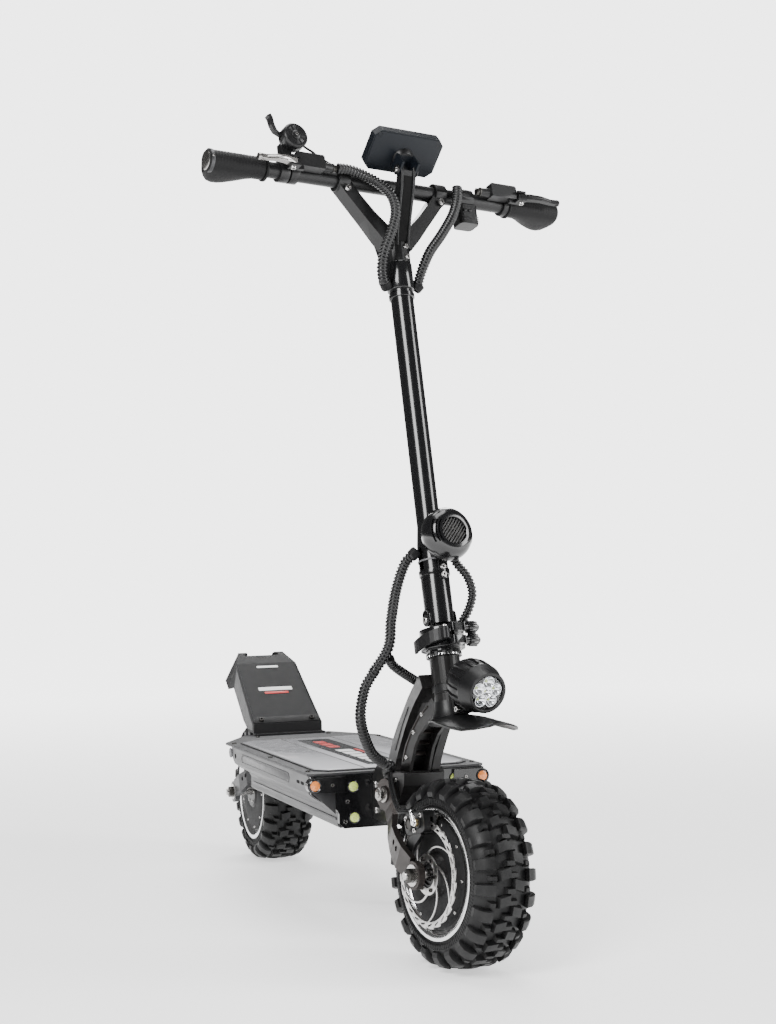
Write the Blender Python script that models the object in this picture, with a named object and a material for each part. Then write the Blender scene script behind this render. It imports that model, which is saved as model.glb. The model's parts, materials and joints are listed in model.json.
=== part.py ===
"""Electric kick scooter: named sub-parts in metres, +Z up.

The scooter faces -Y and the rider's left is +X.  The origin is on the ground, halfway along the scooter.
The steering assembly is drawn straight ahead, in a frame whose Z runs up the steering axis, and an empty
turns it to its resting angle.
"""

import math

import bmesh
import bpy
from mathutils import Matrix, Vector

# ---------------------------------------------------------------- driving dimensions (metres, degrees)
WHEELBASE = 1.0346
TYRE_R = 0.1357
TYRE_HALF_W = 0.050
TYRE_TREAD_DEPTH = 0.0048
TYRE_BLOCKS = 20
RIM_R = 0.0925
DISC_R = 0.0765
DISC_X = -0.0565
RAKE = 15.33
REST_STEER = 11.5
HEAD = Vector((0.0, -0.4504, 0.468))
PIVOT_Y = 0.369
PIVOT_Z = 0.2335
ARM_BOSS_R = 0.024
ARM_T = 0.0095
DECK_HALF_W = 0.1485
DECK_FRONT = -0.2378
DECK_REAR = 0.3053
DECK_TOP = 0.2555
BOX_HALF_W = 0.100
BOX_BOTTOM = 0.1675
PLATE_T = 0.004
WALL = 0.004
HEAD_TUBE_R = 0.0227
HEAD_TUBE_LOW = -0.0815
HEAD_TUBE_HIGH = -0.0268
STEERER_R = 0.0160
KNUCKLE_R = 0.0252
KNUCKLE_TOP = 0.0175
FOLD_S = 0.030
STEM_R_LOW = 0.0215
STEM_R_HIGH = 0.0178
STEM_TOP = 0.612
BAR_S = 0.737
BAR_R = 0.0127
BAR_HALF = 0.3090
GRIP_R = 0.0172
GRIP_END = 0.3185
CABLE_R = 0.0078
HOSE_R = 0.0024
GAP = 0.0003

AXLE_Y = WHEELBASE / 2.0
FRONT_AXLE_Z = TYRE_R + 0.00074

for old in list(bpy.data.objects):
    bpy.data.objects.remove(old, do_unlink=True)

# ---------------------------------------------------------------- frames
RAKE_RAD = math.radians(RAKE)
STRAIGHT = Matrix.Translation(HEAD) @ Matrix.Rotation(-RAKE_RAD, 4, "X")
STEERED = STRAIGHT @ Matrix.Rotation(math.radians(REST_STEER), 4, "Z")
TO_LOCAL = STRAIGHT.inverted()


def local(y, z, x=0.0):
    """A point of the straight-ahead scooter, in the steering frame."""
    return TO_LOCAL @ Vector((x, y, z))


def empty(name, parent, matrix):
    """A pivot: matrix is its place in its parent's frame."""
    e = bpy.data.objects.new(name, None)
    e.empty_display_size = 0.03
    bpy.context.collection.objects.link(e)
    e.parent = parent
    e.matrix_local = matrix
    return e


# ---------------------------------------------------------------- materials
MATERIALS = {}


def material(name, colour, rough, metal):
    mat = bpy.data.materials.new(name)
    mat.use_nodes = True
    bsdf = mat.node_tree.nodes["Principled BSDF"]
    bsdf.inputs["Base Color"].default_value = (*colour, 1.0)
    bsdf.inputs["Roughness"].default_value = rough
    bsdf.inputs["Metallic"].default_value = metal
    MATERIALS[name] = mat
    return mat


material("black_gloss", (0.015, 0.015, 0.017), 0.22, 0.6)
material("black_satin", (0.03, 0.03, 0.032), 0.45, 0.5)
material("black_plastic", (0.025, 0.025, 0.027), 0.5, 0.0)
material("black_rubber", (0.02, 0.02, 0.02), 0.85, 0.0)
material("dark_cast", (0.10, 0.095, 0.09), 0.5, 0.8)
material("grey_anodised", (0.34, 0.34, 0.35), 0.42, 0.8)
material("plate_grey", (0.30, 0.30, 0.31), 0.5, 0.7)
material("mat_white", (0.80, 0.80, 0.82), 0.25, 0.0)
material("steel", (0.72, 0.72, 0.72), 0.25, 1.0)
material("dark_steel", (0.22, 0.21, 0.20), 0.35, 1.0)
material("battery_blue", (0.05, 0.12, 0.35), 0.5, 0.0)
material("red_lens", (0.6, 0.02, 0.02), 0.2, 0.0)
material("clear_lens", (0.9, 0.92, 0.93), 0.08, 0.0)
material("textured_dark", (0.055, 0.055, 0.058), 0.75, 0.2)


# ---------------------------------------------------------------- mesh helpers (all return a bmesh)
def recalc(bm):
    bmesh.ops.recalc_face_normals(bm, faces=bm.faces[:])
    return bm


def box(x0, x1, y0, y1, z0, z1):
    bm = bmesh.new()
    bmesh.ops.create_cube(bm, size=1.0)
    size = Matrix.Diagonal((x1 - x0, y1 - y0, z1 - z0, 1.0))
    centre = Matrix.Translation(((x0 + x1) / 2, (y0 + y1) / 2, (z0 + z1) / 2))
    bmesh.ops.transform(bm, matrix=centre @ size, verts=bm.verts[:])
    return bm


def prism(points, axis, a0, a1):
    """A flat outline pushed along an axis. axis X takes (y, z), axis Y takes (x, z), axis Z takes (x, y)."""
    bm = bmesh.new()

    def at(p, a):
        if axis == "X":
            return (a, p[0], p[1])
        if axis == "Y":
            return (p[0], a, p[1])
        return (p[0], p[1], a)

    low = [bm.verts.new(at(p, a0)) for p in points]
    high = [bm.verts.new(at(p, a1)) for p in points]
    n = len(points)
    bm.faces.new(low)
    bm.faces.new(high[::-1])
    for i in range(n):
        j = (i + 1) % n
        bm.faces.new((low[i], high[i], high[j], low[j]))
    return recalc(bm)


def turned(profile, seg, origin=(0, 0, 0), axis="X"):
    """A closed profile of (radius, height) turned about an axis through origin."""
    bm = bmesh.new()
    rings = []
    for k in range(seg):
        t = 2.0 * math.pi * (k + 0.5) / seg
        ring = []
        for r, h in profile:
            u = r * math.cos(t)
            v = r * math.sin(t)
            p = {"X": (h, u, v), "Y": (v, h, u), "Z": (u, v, h)}[axis]
            ring.append(bm.verts.new(Vector(p) + Vector(origin)))
        rings.append(ring)
    n = len(profile)
    for k in range(seg):
        a = rings[k]
        b = rings[(k + 1) % seg]
        for i in range(n):
            j = (i + 1) % n
            bm.faces.new((a[i], a[j], b[j], b[i]))
    bmesh.ops.remove_doubles(bm, verts=bm.verts[:], dist=1e-6)
    bmesh.ops.dissolve_degenerate(bm, dist=1e-6, edges=bm.edges[:])
    return recalc(bm)


def rod(p0, p1, r0, seg=16, r1=None):
    """A solid cylinder or cone between two points."""
    p0 = Vector(p0)
    p1 = Vector(p1)
    d = p1 - p0
    bm = bmesh.new()
    bmesh.ops.create_cone(
        bm,
        cap_ends=True,
        segments=seg,
        radius1=r0,
        radius2=r0 if r1 is None else r1,
        depth=d.length,
    )
    turn = d.to_track_quat("Z", "Y").to_matrix().to_4x4()
    bmesh.ops.transform(bm, matrix=Matrix.Translation((p0 + p1) / 2) @ turn, verts=bm.verts[:])
    return bm


def pipe(p0, p1, r_out, r_in, seg=20):
    """A tube with a bore, between two points."""
    p0 = Vector(p0)
    p1 = Vector(p1)
    d = p1 - p0
    length = d.length
    bm = turned([(r_in, 0), (r_out, 0), (r_out, length), (r_in, length)], seg, axis="Z")
    turn = d.to_track_quat("Z", "Y").to_matrix().to_4x4()
    bmesh.ops.transform(bm, matrix=Matrix.Translation(p0) @ turn, verts=bm.verts[:])
    return bm


def strap(path, widths, thick, side):
    """A bent bar of rectangular section: width lies across the path, thickness along the side direction."""
    bm = bmesh.new()
    side = Vector(side).normalized()
    pts = [Vector(p) for p in path]
    rings = []
    for i, p in enumerate(pts):
        a = pts[max(i - 1, 0)]
        b = pts[min(i + 1, len(pts) - 1)]
        along = b - a
        along = (along - side * along.dot(side)).normalized()
        across = along.cross(side).normalized()
        w = widths[i] / 2.0
        t = (thick[i] if isinstance(thick, (list, tuple)) else thick) / 2.0
        corners = (across * w + side * t, across * w - side * t, -across * w - side * t, -across * w + side * t)
        rings.append([bm.verts.new(p + c) for c in corners])
    for a, b in zip(rings, rings[1:]):
        for i in range(4):
            j = (i + 1) % 4
            bm.faces.new((a[i], a[j], b[j], b[i]))
    bm.faces.new(rings[0])
    bm.faces.new(rings[-1][::-1])
    return recalc(bm)


def moved(bm, matrix):
    bmesh.ops.transform(bm, matrix=matrix, verts=bm.verts[:])
    if matrix.to_3x3().determinant() < 0:
        bmesh.ops.reverse_faces(bm, faces=bm.faces[:])
    return bm


def mirrored(bm, axis=0):
    scale = [1.0, 1.0, 1.0, 1.0]
    scale[axis] = -1.0
    return moved(bm, Matrix.Diagonal(scale))


def temp_object(bm):
    me = bpy.data.meshes.new("tmp")
    bm.to_mesh(me)
    ob = bpy.data.objects.new("tmp", me)
    bpy.context.collection.objects.link(ob)
    return ob


def combine(base, others, operation="UNION"):
    """Joins (or cuts) solids one after another into one closed body."""
    target = temp_object(base)
    base.free()
    for other in others:
        tool = temp_object(other)
        other.free()
        mod = target.modifiers.new("b", "BOOLEAN")
        mod.operation = operation
        mod.solver = "EXACT"
        mod.object = tool
        bpy.context.view_layer.update()
        graph = bpy.context.evaluated_depsgraph_get()
        mesh = bpy.data.meshes.new_from_object(target.evaluated_get(graph))
        target.modifiers.clear()
        target.data = mesh
        bpy.data.objects.remove(tool, do_unlink=True)
    out = bmesh.new()
    out.from_mesh(target.data)
    bpy.data.objects.remove(target, do_unlink=True)
    bmesh.ops.remove_doubles(out, verts=out.verts[:], dist=2e-6)
    bmesh.ops.dissolve_limit(out, angle_limit=0.0005, verts=out.verts[:], edges=out.edges[:])
    return out


def rounded(x0, x1, y0, y1, r, n=3):
    """Corner points of a rounded rectangle."""
    pts = []
    for cx, cy, a0 in ((x1 - r, y1 - r, 0), (x0 + r, y1 - r, 90), (x0 + r, y0 + r, 180), (x1 - r, y0 + r, 270)):
        for k in range(n + 1):
            a = math.radians(a0 + 90.0 * k / n)
            pts.append((cx + r * math.cos(a), cy + r * math.sin(a)))
    return pts


def smooth_route(points, spacing):
    """Evenly spaced points on a smooth curve through the route's points."""
    pts = [Vector(p) for p in points]
    ext = [pts[0] * 2 - pts[1]] + pts + [pts[-1] * 2 - pts[-2]]
    fine = []
    for i in range(1, len(ext) - 2):
        p0, p1, p2, p3 = ext[i - 1 : i + 3]
        for k in range(20):
            t = k / 20.0
            fine.append(
                0.5
                * (
                    2 * p1
                    + (p2 - p0) * t
                    + (2 * p0 - 5 * p1 + 4 * p2 - p3) * t * t
                    + (3 * p1 - p0 - 3 * p2 + p3) * t * t * t
                )
            )
    fine.append(pts[-1])
    lengths = [0.0]
    for a, b in zip(fine, fine[1:]):
        lengths.append(lengths[-1] + (b - a).length)
    count = max(2, round(lengths[-1] / spacing))
    out = []
    j = 0
    for k in range(count + 1):
        want = lengths[-1] * k / count
        while j < len(fine) - 2 and lengths[j + 1] < want:
            j += 1
        span = lengths[j + 1] - lengths[j]
        t = 0.0 if span == 0 else (want - lengths[j]) / span
        out.append(fine[j].lerp(fine[j + 1], min(max(t, 0.0), 1.0)))
    return out


# ---------------------------------------------------------------- making objects
def node(name, bm, mat, pivot, frame=None):
    """One named sub-part. frame places the modelling frame in the pivot's frame; faces stay as built."""
    if frame is not None:
        moved(bm, frame)
    me = bpy.data.meshes.new(name)
    bm.to_mesh(me)
    bm.free()
    me.materials.append(MATERIALS[mat])
    ob = bpy.data.objects.new(name, me)
    bpy.context.collection.objects.link(ob)
    ob.parent = pivot
    me.shade_smooth()
    me.set_sharp_from_angle(angle=math.radians(32))
    return ob


def cable(name, points, radius, mat, pivot, frame=None, resolution=2, spacing=None):
    """A plain round cable on a poly spline."""
    route = smooth_route(points, spacing or radius * 4.4)
    if frame is not None:
        route = [frame @ p for p in route]
    cu = bpy.data.curves.new(name, "CURVE")
    cu.dimensions = "3D"
    cu.bevel_depth = radius
    cu.bevel_resolution = resolution
    cu.resolution_u = 1
    cu.render_resolution_u = 0
    cu.use_fill_caps = True
    spline = cu.splines.new("POLY")
    spline.points.add(len(route) - 1)
    for p, q in zip(spline.points, route):
        p.co = (q.x, q.y, q.z, 1.0)
    cu.materials.append(MATERIALS[mat])
    ob = bpy.data.objects.new(name, cu)
    bpy.context.collection.objects.link(ob)
    ob.parent = pivot
    return ob


# ---------------------------------------------------------------- pivots
I4 = Matrix.Identity(4)
T = Matrix.Translation
chassis = empty("chassis_frame", None, I4)
steer = empty("steering_axis", chassis, STEERED)
fold = empty("stem_fold_axis", steer, T((0, 0, FOLD_S)))
front_axle_l = local(-AXLE_Y, FRONT_AXLE_Z)
front_pivot_l = local(-PIVOT_Y, PIVOT_Z)
front_arm = empty("front_arm_axis", steer, T(front_pivot_l))
front_wheel = empty("front_wheel_axis", front_arm, T(front_axle_l - front_pivot_l))
rear_arm = empty("rear_arm_axis", chassis, T((0, PIVOT_Y, PIVOT_Z)))
rear_wheel = empty("rear_wheel_axis", rear_arm, T((0, AXLE_Y - PIVOT_Y, TYRE_R - PIVOT_Z)))

# frames that bring each modelling frame into a pivot's frame
F_FOLD = T((0, 0, -FOLD_S))
F_STEER_W = TO_LOCAL
F_ARM_F = T(-front_pivot_l) @ TO_LOCAL
F_WHEEL_F = T(-front_axle_l) @ TO_LOCAL
F_ARM_R = T((0, -PIVOT_Y, -PIVOT_Z))
F_WHEEL_R = T((0, -AXLE_Y, -TYRE_R))


# ================================================================= chassis
def deck_tray():
    """Aluminium tray: narrow battery box below, wide side walls above, open at the top."""
    w = DECK_HALF_W - 0.002
    top = DECK_TOP - PLATE_T - GAP
    outer = [
        (w, top),
        (w, 0.2235),
        (w - 0.008, 0.2165),
        (BOX_HALF_W + 0.004, 0.1965),
        (BOX_HALF_W, 0.1905),
        (BOX_HALF_W, BOX_BOTTOM + 0.004),
        (BOX_HALF_W - 0.004, BOX_BOTTOM),
    ]
    inner = [
        (BOX_HALF_W - WALL, BOX_BOTTOM + WALL),
        (BOX_HALF_W - WALL, 0.194),
        (w - 0.011, 0.2195),
        (w - WALL, 0.2255),
        (w - WALL, top),
    ]
    right = outer + [(-x, z) for x, z in outer[::-1]]
    left = [(-x, z) for x, z in inner[::-1]] + inner
    body = prism(right + left, "Y", DECK_FRONT + 0.0065, DECK_REAR - 0.006)
    cuts = []
    for s in (1, -1):
        a = sorted((s * 0.1045, s * 0.2))
        cuts.append(prism([(0.262, 0.30), (0.262, 0.235), (0.20, 0.20), (0.20, 0.15), (0.40, 0.15), (0.40, 0.30)],
                          "X", a[0], a[1]))
    return combine(body, cuts, "DIFFERENCE")


def deck_plate():
    w = DECK_HALF_W
    pts = [
        (-w, -0.229),
        (-w + 0.009, DECK_FRONT),
        (w - 0.009, DECK_FRONT),
        (w, -0.229),
        (w, DECK_REAR - 0.006),
        (0.084, 0.410),
        (-0.084, 0.410),
        (-w, DECK_REAR - 0.006),
    ]
    return prism(pts, "Z", DECK_TOP - PLATE_T, DECK_TOP)


def grip_mat():
    w = 0.130
    pts = [(-w + 0.02, -0.222), (w - 0.02, -0.222), (w, -0.202), (w, 0.262), (w - 0.028, 0.290), (-w + 0.028, 0.290),
           (-w, 0.262), (-w, -0.202)]
    return prism(pts, "Z", DECK_TOP + GAP, DECK_TOP + 0.0022)


def front_plate():
    """Black front plate with a capsule lamp pod reaching out on each side."""
    b = BOX_HALF_W
    z0 = BOX_BOTTOM
    z1 = DECK_TOP - PLATE_T - GAP
    w = DECK_HALF_W - 0.0030
    half = [(w, z1), (w, 0.2240), (w - 0.008, 0.2170), (b + 0.004, 0.1972), (b, 0.1910), (b, z0 + 0.008),
            (b - 0.008, z0)]
    plate = prism(half + [(-x, z) for x, z in half[::-1]], "Y", DECK_FRONT - 0.003, DECK_FRONT + 0.006)
    extra = []
    r = 0.0122
    zc = 0.2375
    for s in (1, -1):
        outline = []
        for k in range(9):
            a = math.radians(-90 + 180 * k / 8)
            outline.append((s * (0.1405 + r * math.cos(a)), zc + r * math.sin(a)))
        outline += [(s * 0.092, zc + r), (s * 0.092, zc - r)]
        extra.append(prism(outline, "Y", DECK_FRONT - 0.009, DECK_FRONT + 0.006))
    return combine(plate, extra)


def neck_frame():
    """Two curved legs from a root block on the deck up to the head tube."""
    rear = [(-0.295, 0.262), (-0.299, 0.2765), (-0.326, 0.314), (-0.348, 0.337), (-0.375, 0.361), (-0.397, 0.381),
            (-0.418, 0.397), (-0.436, 0.4085), (-0.448, 0.418)]
    front = [(-0.462, 0.4000), (-0.447, 0.3895), (-0.428, 0.3765), (-0.406, 0.358), (-0.384, 0.336), (-0.363, 0.312),
             (-0.340, 0.284), (-0.327, 0.262)]
    leg = prism(rear + front, "X", 0.0245, 0.0375)
    other = prism(rear + front, "X", -0.0375, -0.0245)
    web_rear = rear
    web_front = [(y - 0.003, z - 0.005) for y, z in rear[::-1]]
    web = prism(web_rear + web_front, "X", -0.030, 0.030)
    gusset = prism([(-0.405, 0.3875), (-0.448, 0.418), (-0.462, 0.4005), (-0.447, 0.3895), (-0.424, 0.3745)],
                   "X", -0.030, 0.030)
    root = prism([(-0.2412 - 0.0005, 0.180), (-0.2412 - 0.0005, 0.2478), (-0.262, 0.266), (-0.322, 0.266),
                  (-0.330, 0.258), (-0.322, 0.205), (-0.300, 0.180)], "X", -0.044, 0.044)
    low = STRAIGHT @ Vector((0, 0, HEAD_TUBE_LOW))
    high = STRAIGHT @ Vector((0, 0, HEAD_TUBE_HIGH))
    tube = rod(low, high, HEAD_TUBE_R, 32)
    d = (high - low).normalized()
    bore = rod(low - d * 0.03, high + d * 0.03, STEERER_R + 0.0012, 24)
    body = combine(root, [leg, other, web, gusset, tube])
    below = moved(box(-0.024, 0.024, -0.03, 0.024, -0.12, HEAD_TUBE_LOW - 0.0001), STRAIGHT)
    above = moved(box(-0.05, 0.05, -0.03, 0.05, HEAD_TUBE_HIGH, 0.0), STRAIGHT)
    return combine(body, [bore, below, above], "DIFFERENCE")


def footrest():
    """Rear kick plate: a sloping plate on two side gussets, with a lip whose edge is notched, and a rear apron."""
    t = 0.003
    w0, w1, w2 = 0.068, 0.0605, 0.0465
    p = [(0.402, 0.2765), (0.556, 0.3835), (0.598, 0.403)]
    bm = bmesh.new()
    n0 = Vector((0, -0.571, 0.821)) * t
    n1 = Vector((0, -0.45, 0.893)) * t
    top = []
    low = []
    for (y, z), w, n in zip(p, (w0, w1, w2), (n0, n0, n1)):
        for s in (-1, 1):
            top.append(bm.verts.new((s * w, y, z)))
            low.append(bm.verts.new(Vector((s * w, y, z)) - n))
    for i in (0, 2):
        bm.faces.new((top[i], top[i + 1], top[i + 3], top[i + 2]))
        bm.faces.new((low[i], low[i + 2], low[i + 3], low[i + 1]))
        bm.faces.new((top[i], top[i + 2], low[i + 2], low[i]))
        bm.faces.new((top[i + 1], low[i + 1], low[i + 3], top[i + 3]))
    bm.faces.new((top[0], low[0], low[1], top[1]))
    bm.faces.new((top[4], top[5], low[5], low[4]))
    plate = recalc(bm)
    parts = []
    for s in (1, -1):
        path = [(s * 0.0652, 0.0, 0.0)]
        side = [(0.402, 0.2745), (0.556, 0.3815), (0.590, 0.3340), (0.520, 0.2900), (0.500, 0.2770), (0.452, 0.2590),
                (0.402, 0.2590)]
        g = prism(side, "X", -0.0016, 0.0016)
        for v in g.verts:
            k = (v.co.y - 0.402) / 0.154
            v.co.x += s * (0.0664 + (0.0589 - 0.0664) * k)
        parts.append(g)
        apron_side = [(0.556, 0.3815), (0.598, 0.4010), (0.662, 0.3440), (0.640, 0.3280), (0.590, 0.3360)]
        a = prism(apron_side, "X", -0.0016, 0.0016)
        for v in a.verts:
            k = (v.co.y - 0.556) / 0.042
            base = 0.0589 - 0.0140 * min(k, 1.0)
            if v.co.y > 0.60:
                base = 0.056
            v.co.x += s * base
        parts.append(a)
    back = bmesh.new()
    quad = [(-0.046, 0.5995, 0.4015), (0.046, 0.5995, 0.4015), (0.0575, 0.6640, 0.3440), (-0.0575, 0.6640, 0.3440)]
    nb = Vector((0, 0.668, 0.744)) * t
    a = [back.verts.new(q) for q in quad]
    b = [back.verts.new(Vector(q) - nb) for q in quad]
    back.faces.new(a)
    back.faces.new(b[::-1])
    for i in range(4):
        j = (i + 1) % 4
        back.faces.new((a[i], b[i], b[j], a[j]))
    parts.append(recalc(back))
    toe = prism([(0.4005, 0.2565), (0.4005, 0.2765), (0.4065, 0.2775), (0.4065, 0.2600), (0.4095, 0.2600),
                 (0.4095, 0.2562)], "X", -0.0680, 0.0680)
    for v in toe.verts:
        v.co.z = max(v.co.z, DECK_TOP + GAP)
    foot = box(-0.068, 0.068, 0.380, 0.4095, DECK_TOP + GAP, DECK_TOP + 0.0038)
    body = combine(plate, parts + [toe, foot])
    slot = prism([(-0.033, 0.586), (0.033, 0.586), (0.036, 0.589), (0.033, 0.594), (0.026, 0.600), (0.026, 0.640),
                  (-0.026, 0.640), (-0.026, 0.600), (-0.033, 0.594), (-0.036, 0.589)], "Z", 0.385, 0.45)
    return combine(body, [slot], "DIFFERENCE")


def rear_block():
    """Housing behind the deck that holds the rear arm's rubber cartridge."""
    prof = [(DECK_REAR - 0.0055, 0.1740), (DECK_REAR - 0.0055, 0.2475), (0.395, 0.2475)]
    for k in range(9):
        a = math.radians(20 - 160 * k / 8)
        prof.append((PIVOT_Y + 0.0285 * math.cos(a), PIVOT_Z - 0.002 + 0.0285 * math.sin(a)))
    body = prism(prof, "X", -0.0340, 0.0340)
    side = prism([(DECK_REAR - 0.0055, 0.1690), (DECK_REAR - 0.0055, 0.2475), (0.3115, 0.2475), (0.3115, 0.1690)],
                 "X", -0.0985, 0.0985)
    body = combine(body, [side])
    return combine(body, [rod((-0.05, PIVOT_Y, PIVOT_Z), (0.05, PIVOT_Y, PIVOT_Z), 0.0125, 20)], "DIFFERENCE")


node("deck_tray", deck_tray(), "grey_anodised", chassis)
node("deck_plate", deck_plate(), "plate_grey", chassis)
node("grip_mat", grip_mat(), "mat_white", chassis)
node("battery_pack", prism(rounded(-0.090, 0.090, -0.180, 0.120, 0.006, 2), "Z", 0.1755, 0.2430), "battery_blue", chassis)
node("motor_controller", prism(rounded(-0.085, 0.085, 0.150, 0.270, 0.004, 1), "Z", 0.1755, 0.2350), "dark_steel",
     chassis)
node("front_plate", front_plate(), "black_gloss", chassis)
node("neck_frame", neck_frame(), "dark_cast", chassis)
node("footrest", footrest(), "textured_dark", chassis)
node("rear_suspension_block", rear_block(), "black_satin", chassis)
lamp = prism([(-0.0300, -0.0110), (0.0300, -0.0110), (0.0340, -0.0070), (0.0340, 0.0070), (0.0300, 0.0110),
              (-0.0300, 0.0110), (-0.0340, 0.0070), (-0.0340, -0.0070)], "Z", 0.0, 0.010)
node("tail_light", lamp, "red_lens", chassis,
     T((0, 0.6342, 0.3713)) @ Matrix.Rotation(math.radians(-41.9), 4, "X"))

# kickstand: swings up along the left side of the battery box
STAND_PIVOT = Vector((0.1120, -0.020, 0.1780))
stand_foot = Vector((0.1300, -0.090, 0.0))
stand = empty("kickstand_axis", chassis, T(STAND_PIVOT))
leg_a = STAND_PIVOT + Vector((0.003, 0, -0.002))
leg_b = stand_foot + Vector((0.0, 0, 0.0095))
stand_bm = combine(
    rod(STAND_PIVOT - Vector((0.0112, 0, 0)), STAND_PIVOT + Vector((0.0130, 0, 0)), 0.0115, 16),
    [
        rod(leg_a, leg_b, 0.0072, 12),
        box(stand_foot.x - 0.014, stand_foot.x + 0.014, stand_foot.y - 0.014, stand_foot.y + 0.014, 0.0, 0.0110),
    ],
)
node("kickstand", stand_bm, "dark_steel", stand, T(-STAND_PIVOT))


# ================================================================= wheels and suspension arms
def tyre():
    """Knobbly tyre: the tread steps between block tops and grooves around the wheel."""
    w = TYRE_HALF_W
    d = TYRE_TREAD_DEPTH
    steps = (0.0, 2.1, 2.5, 3.6)
    n = TYRE_BLOCKS * 4
    reach = TYRE_R / math.cos(math.pi * steps[1] / n)
    tops = [(0.019, 0.0), (0.035, 0.0042), (0.0465, 0.0145)]
    side = [(w, 0.0270), (0.0430, TYRE_R - RIM_R - GAP)]
    half = [(x, reach - drop, d * (1.0 if x < 0.04 else 0.6)) for x, drop in tops]
    half += [(x, TYRE_R - drop, 0.0) for x, drop in side]
    prof = half + [(-x, r, g) for x, r, g in half[::-1]]
    bm = bmesh.new()
    rings = []
    for k in range(n):
        low = k % 4 >= 2
        turn_a = math.pi + 2 * math.pi * (4 * (k // 4) + steps[k % 4] - steps[1] / 2) / n
        ring = []
        for x, r, g in prof:
            rr = r - (g if low else 0.0)
            ring.append(bm.verts.new((x, rr * math.cos(turn_a), rr * math.sin(turn_a))))
        rings.append(ring)
    m = len(prof)
    for k in range(n):
        a = rings[k]
        b = rings[(k + 1) % n]
        for i in range(m):
            j = (i + 1) % m
            bm.faces.new((a[i], a[j], b[j], b[i]))
    return recalc(bm)


def hub_motor():
    """Rim and hub motor in one casting, with a bore for the axle."""
    prof = [(0.0087, 0.046), (0.030, 0.046), (0.034, 0.0425), (0.078, 0.0405), (0.0825, 0.0360), (0.0845, 0.0415),
            (RIM_R, 0.0415), (RIM_R, -0.0415), (0.0845, -0.0415), (0.0825, -0.0360), (0.078, -0.0405),
            (0.034, -0.0425), (0.030, -0.0530), (0.0087, -0.0530)]
    return turned(prof, 28)


def brake_disc():
    """Wavy slotted rotor on six arms."""
    n = 48
    outline = []
    for k in range(n):
        a = 2 * math.pi * k / n
        r = DISC_R - 0.0016 + 0.0016 * math.cos(12 * a)
        outline.append((r * math.cos(a), r * math.sin(a)))
    body = prism(outline, "X", DISC_X - 0.0010, DISC_X + 0.0010)
    windows = []
    for k in range(6):
        a0 = 2 * math.pi * k / 6
        pts = []
        for u in (0.10, 0.50, 0.88):
            a = a0 + u * math.pi / 3
            pts.append((0.0555 * math.cos(a), 0.0555 * math.sin(a)))
        for u in (0.74, 0.42, 0.06):
            a = a0 + (u + 0.30) * math.pi / 3
            pts.append((0.0320 * math.cos(a), 0.0320 * math.sin(a)))
        windows.append(prism(pts, "X", DISC_X - 0.004, DISC_X + 0.004))
    windows.append(rod((DISC_X - 0.01, 0, 0), (DISC_X + 0.01, 0, 0), 0.0182, 24))
    return combine(body, windows, "DIFFERENCE")


def axle():
    """Fixed axle: slim rod through the hub, wider where the arms clamp it, and a nut on each end."""
    prof = [(0.0, -0.0960), (0.0060, -0.0960), (0.0060, -0.0915), (0.0130, -0.0915), (0.0130, -0.0822),
            (0.0080, -0.0822), (0.0080, 0.0822), (0.0130, 0.0822), (0.0130, 0.0915), (0.0060, 0.0915),
            (0.0060, 0.0960), (0.0, 0.0960)]
    return turned(prof, 12)


def swing_arm(sign, boss, axle_z):
    """Pair of S-bent plates on one pivot shaft, drawn about the pivot. sign is -1 in front and 1 behind."""
    dy = AXLE_Y - PIVOT_Y
    dz = axle_z - PIVOT_Z
    way = [(0.0402, 0.0, 0.0), (0.0410, 0.0140, -0.0170), (0.0460, 0.0285, -0.0330), (0.0590, 0.0505, -0.0490),
           (0.0690, 0.0765, -0.0625), (0.0755, 0.1040, -0.0770), (0.0772, dy - 0.012, dz + 0.008)]
    widths = [boss * 1.5, 0.027, 0.021, 0.022, 0.030, 0.036, 0.034]
    parts = []
    for s in (1, -1):
        path = [(s * x, sign * y, z) for x, y, z in way]
        parts.append(strap(path, widths, ARM_T, (1, 0, 0)))
        parts.append(rod((s * 0.0352, 0, 0), (s * 0.0450, 0, 0), boss, 14))
        parts.append(rod((s * 0.0720, sign * dy, dz), (s * 0.0818, sign * dy, dz), 0.0205, 14))
        parts.append(rod((s * 0.0440, 0, 0), (s * 0.0560, 0, 0), 0.0095, 6))
    body = combine(rod((-0.040, 0, 0), (0.040, 0, 0), 0.0119, 16), parts)
    hole = rod((-0.12, sign * dy, dz), (0.12, sign * dy, dz), 0.0084, 14)
    holes = [hole]
    for y, z in ((0.0800, -0.0590), (0.0930, -0.0665)):
        holes.append(rod((-0.12, sign * y, z), (0.12, sign * y, z), 0.0042, 8))
    return combine(body, holes, "DIFFERENCE")


def caliper(angle):
    """Two-piece caliper around the disc edge at an angle, with an arm down to the swing arm's inner face."""
    slot_half = 0.0022
    x0, x1 = -0.0700, -0.0490
    body = prism(rounded(-0.027, 0.027, 0.058, 0.0895, 0.008, 2), "X", x0, x1)
    mouth = box(DISC_X - slot_half, DISC_X + slot_half, -0.04, 0.04, 0.040, 0.0790)
    body = combine(body, [mouth], "DIFFERENCE")
    body = combine(body, [rod((x0 - 0.0035, 0.010, 0.073), (x0 + 0.002, 0.010, 0.073), 0.0105, 14),
                          rod((x0 - 0.0035, -0.012, 0.073), (x0 + 0.002, -0.012, 0.073), 0.0085, 12)])
    moved(body, Matrix.Rotation(math.radians(angle), 4, "X"))
    return body


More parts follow.
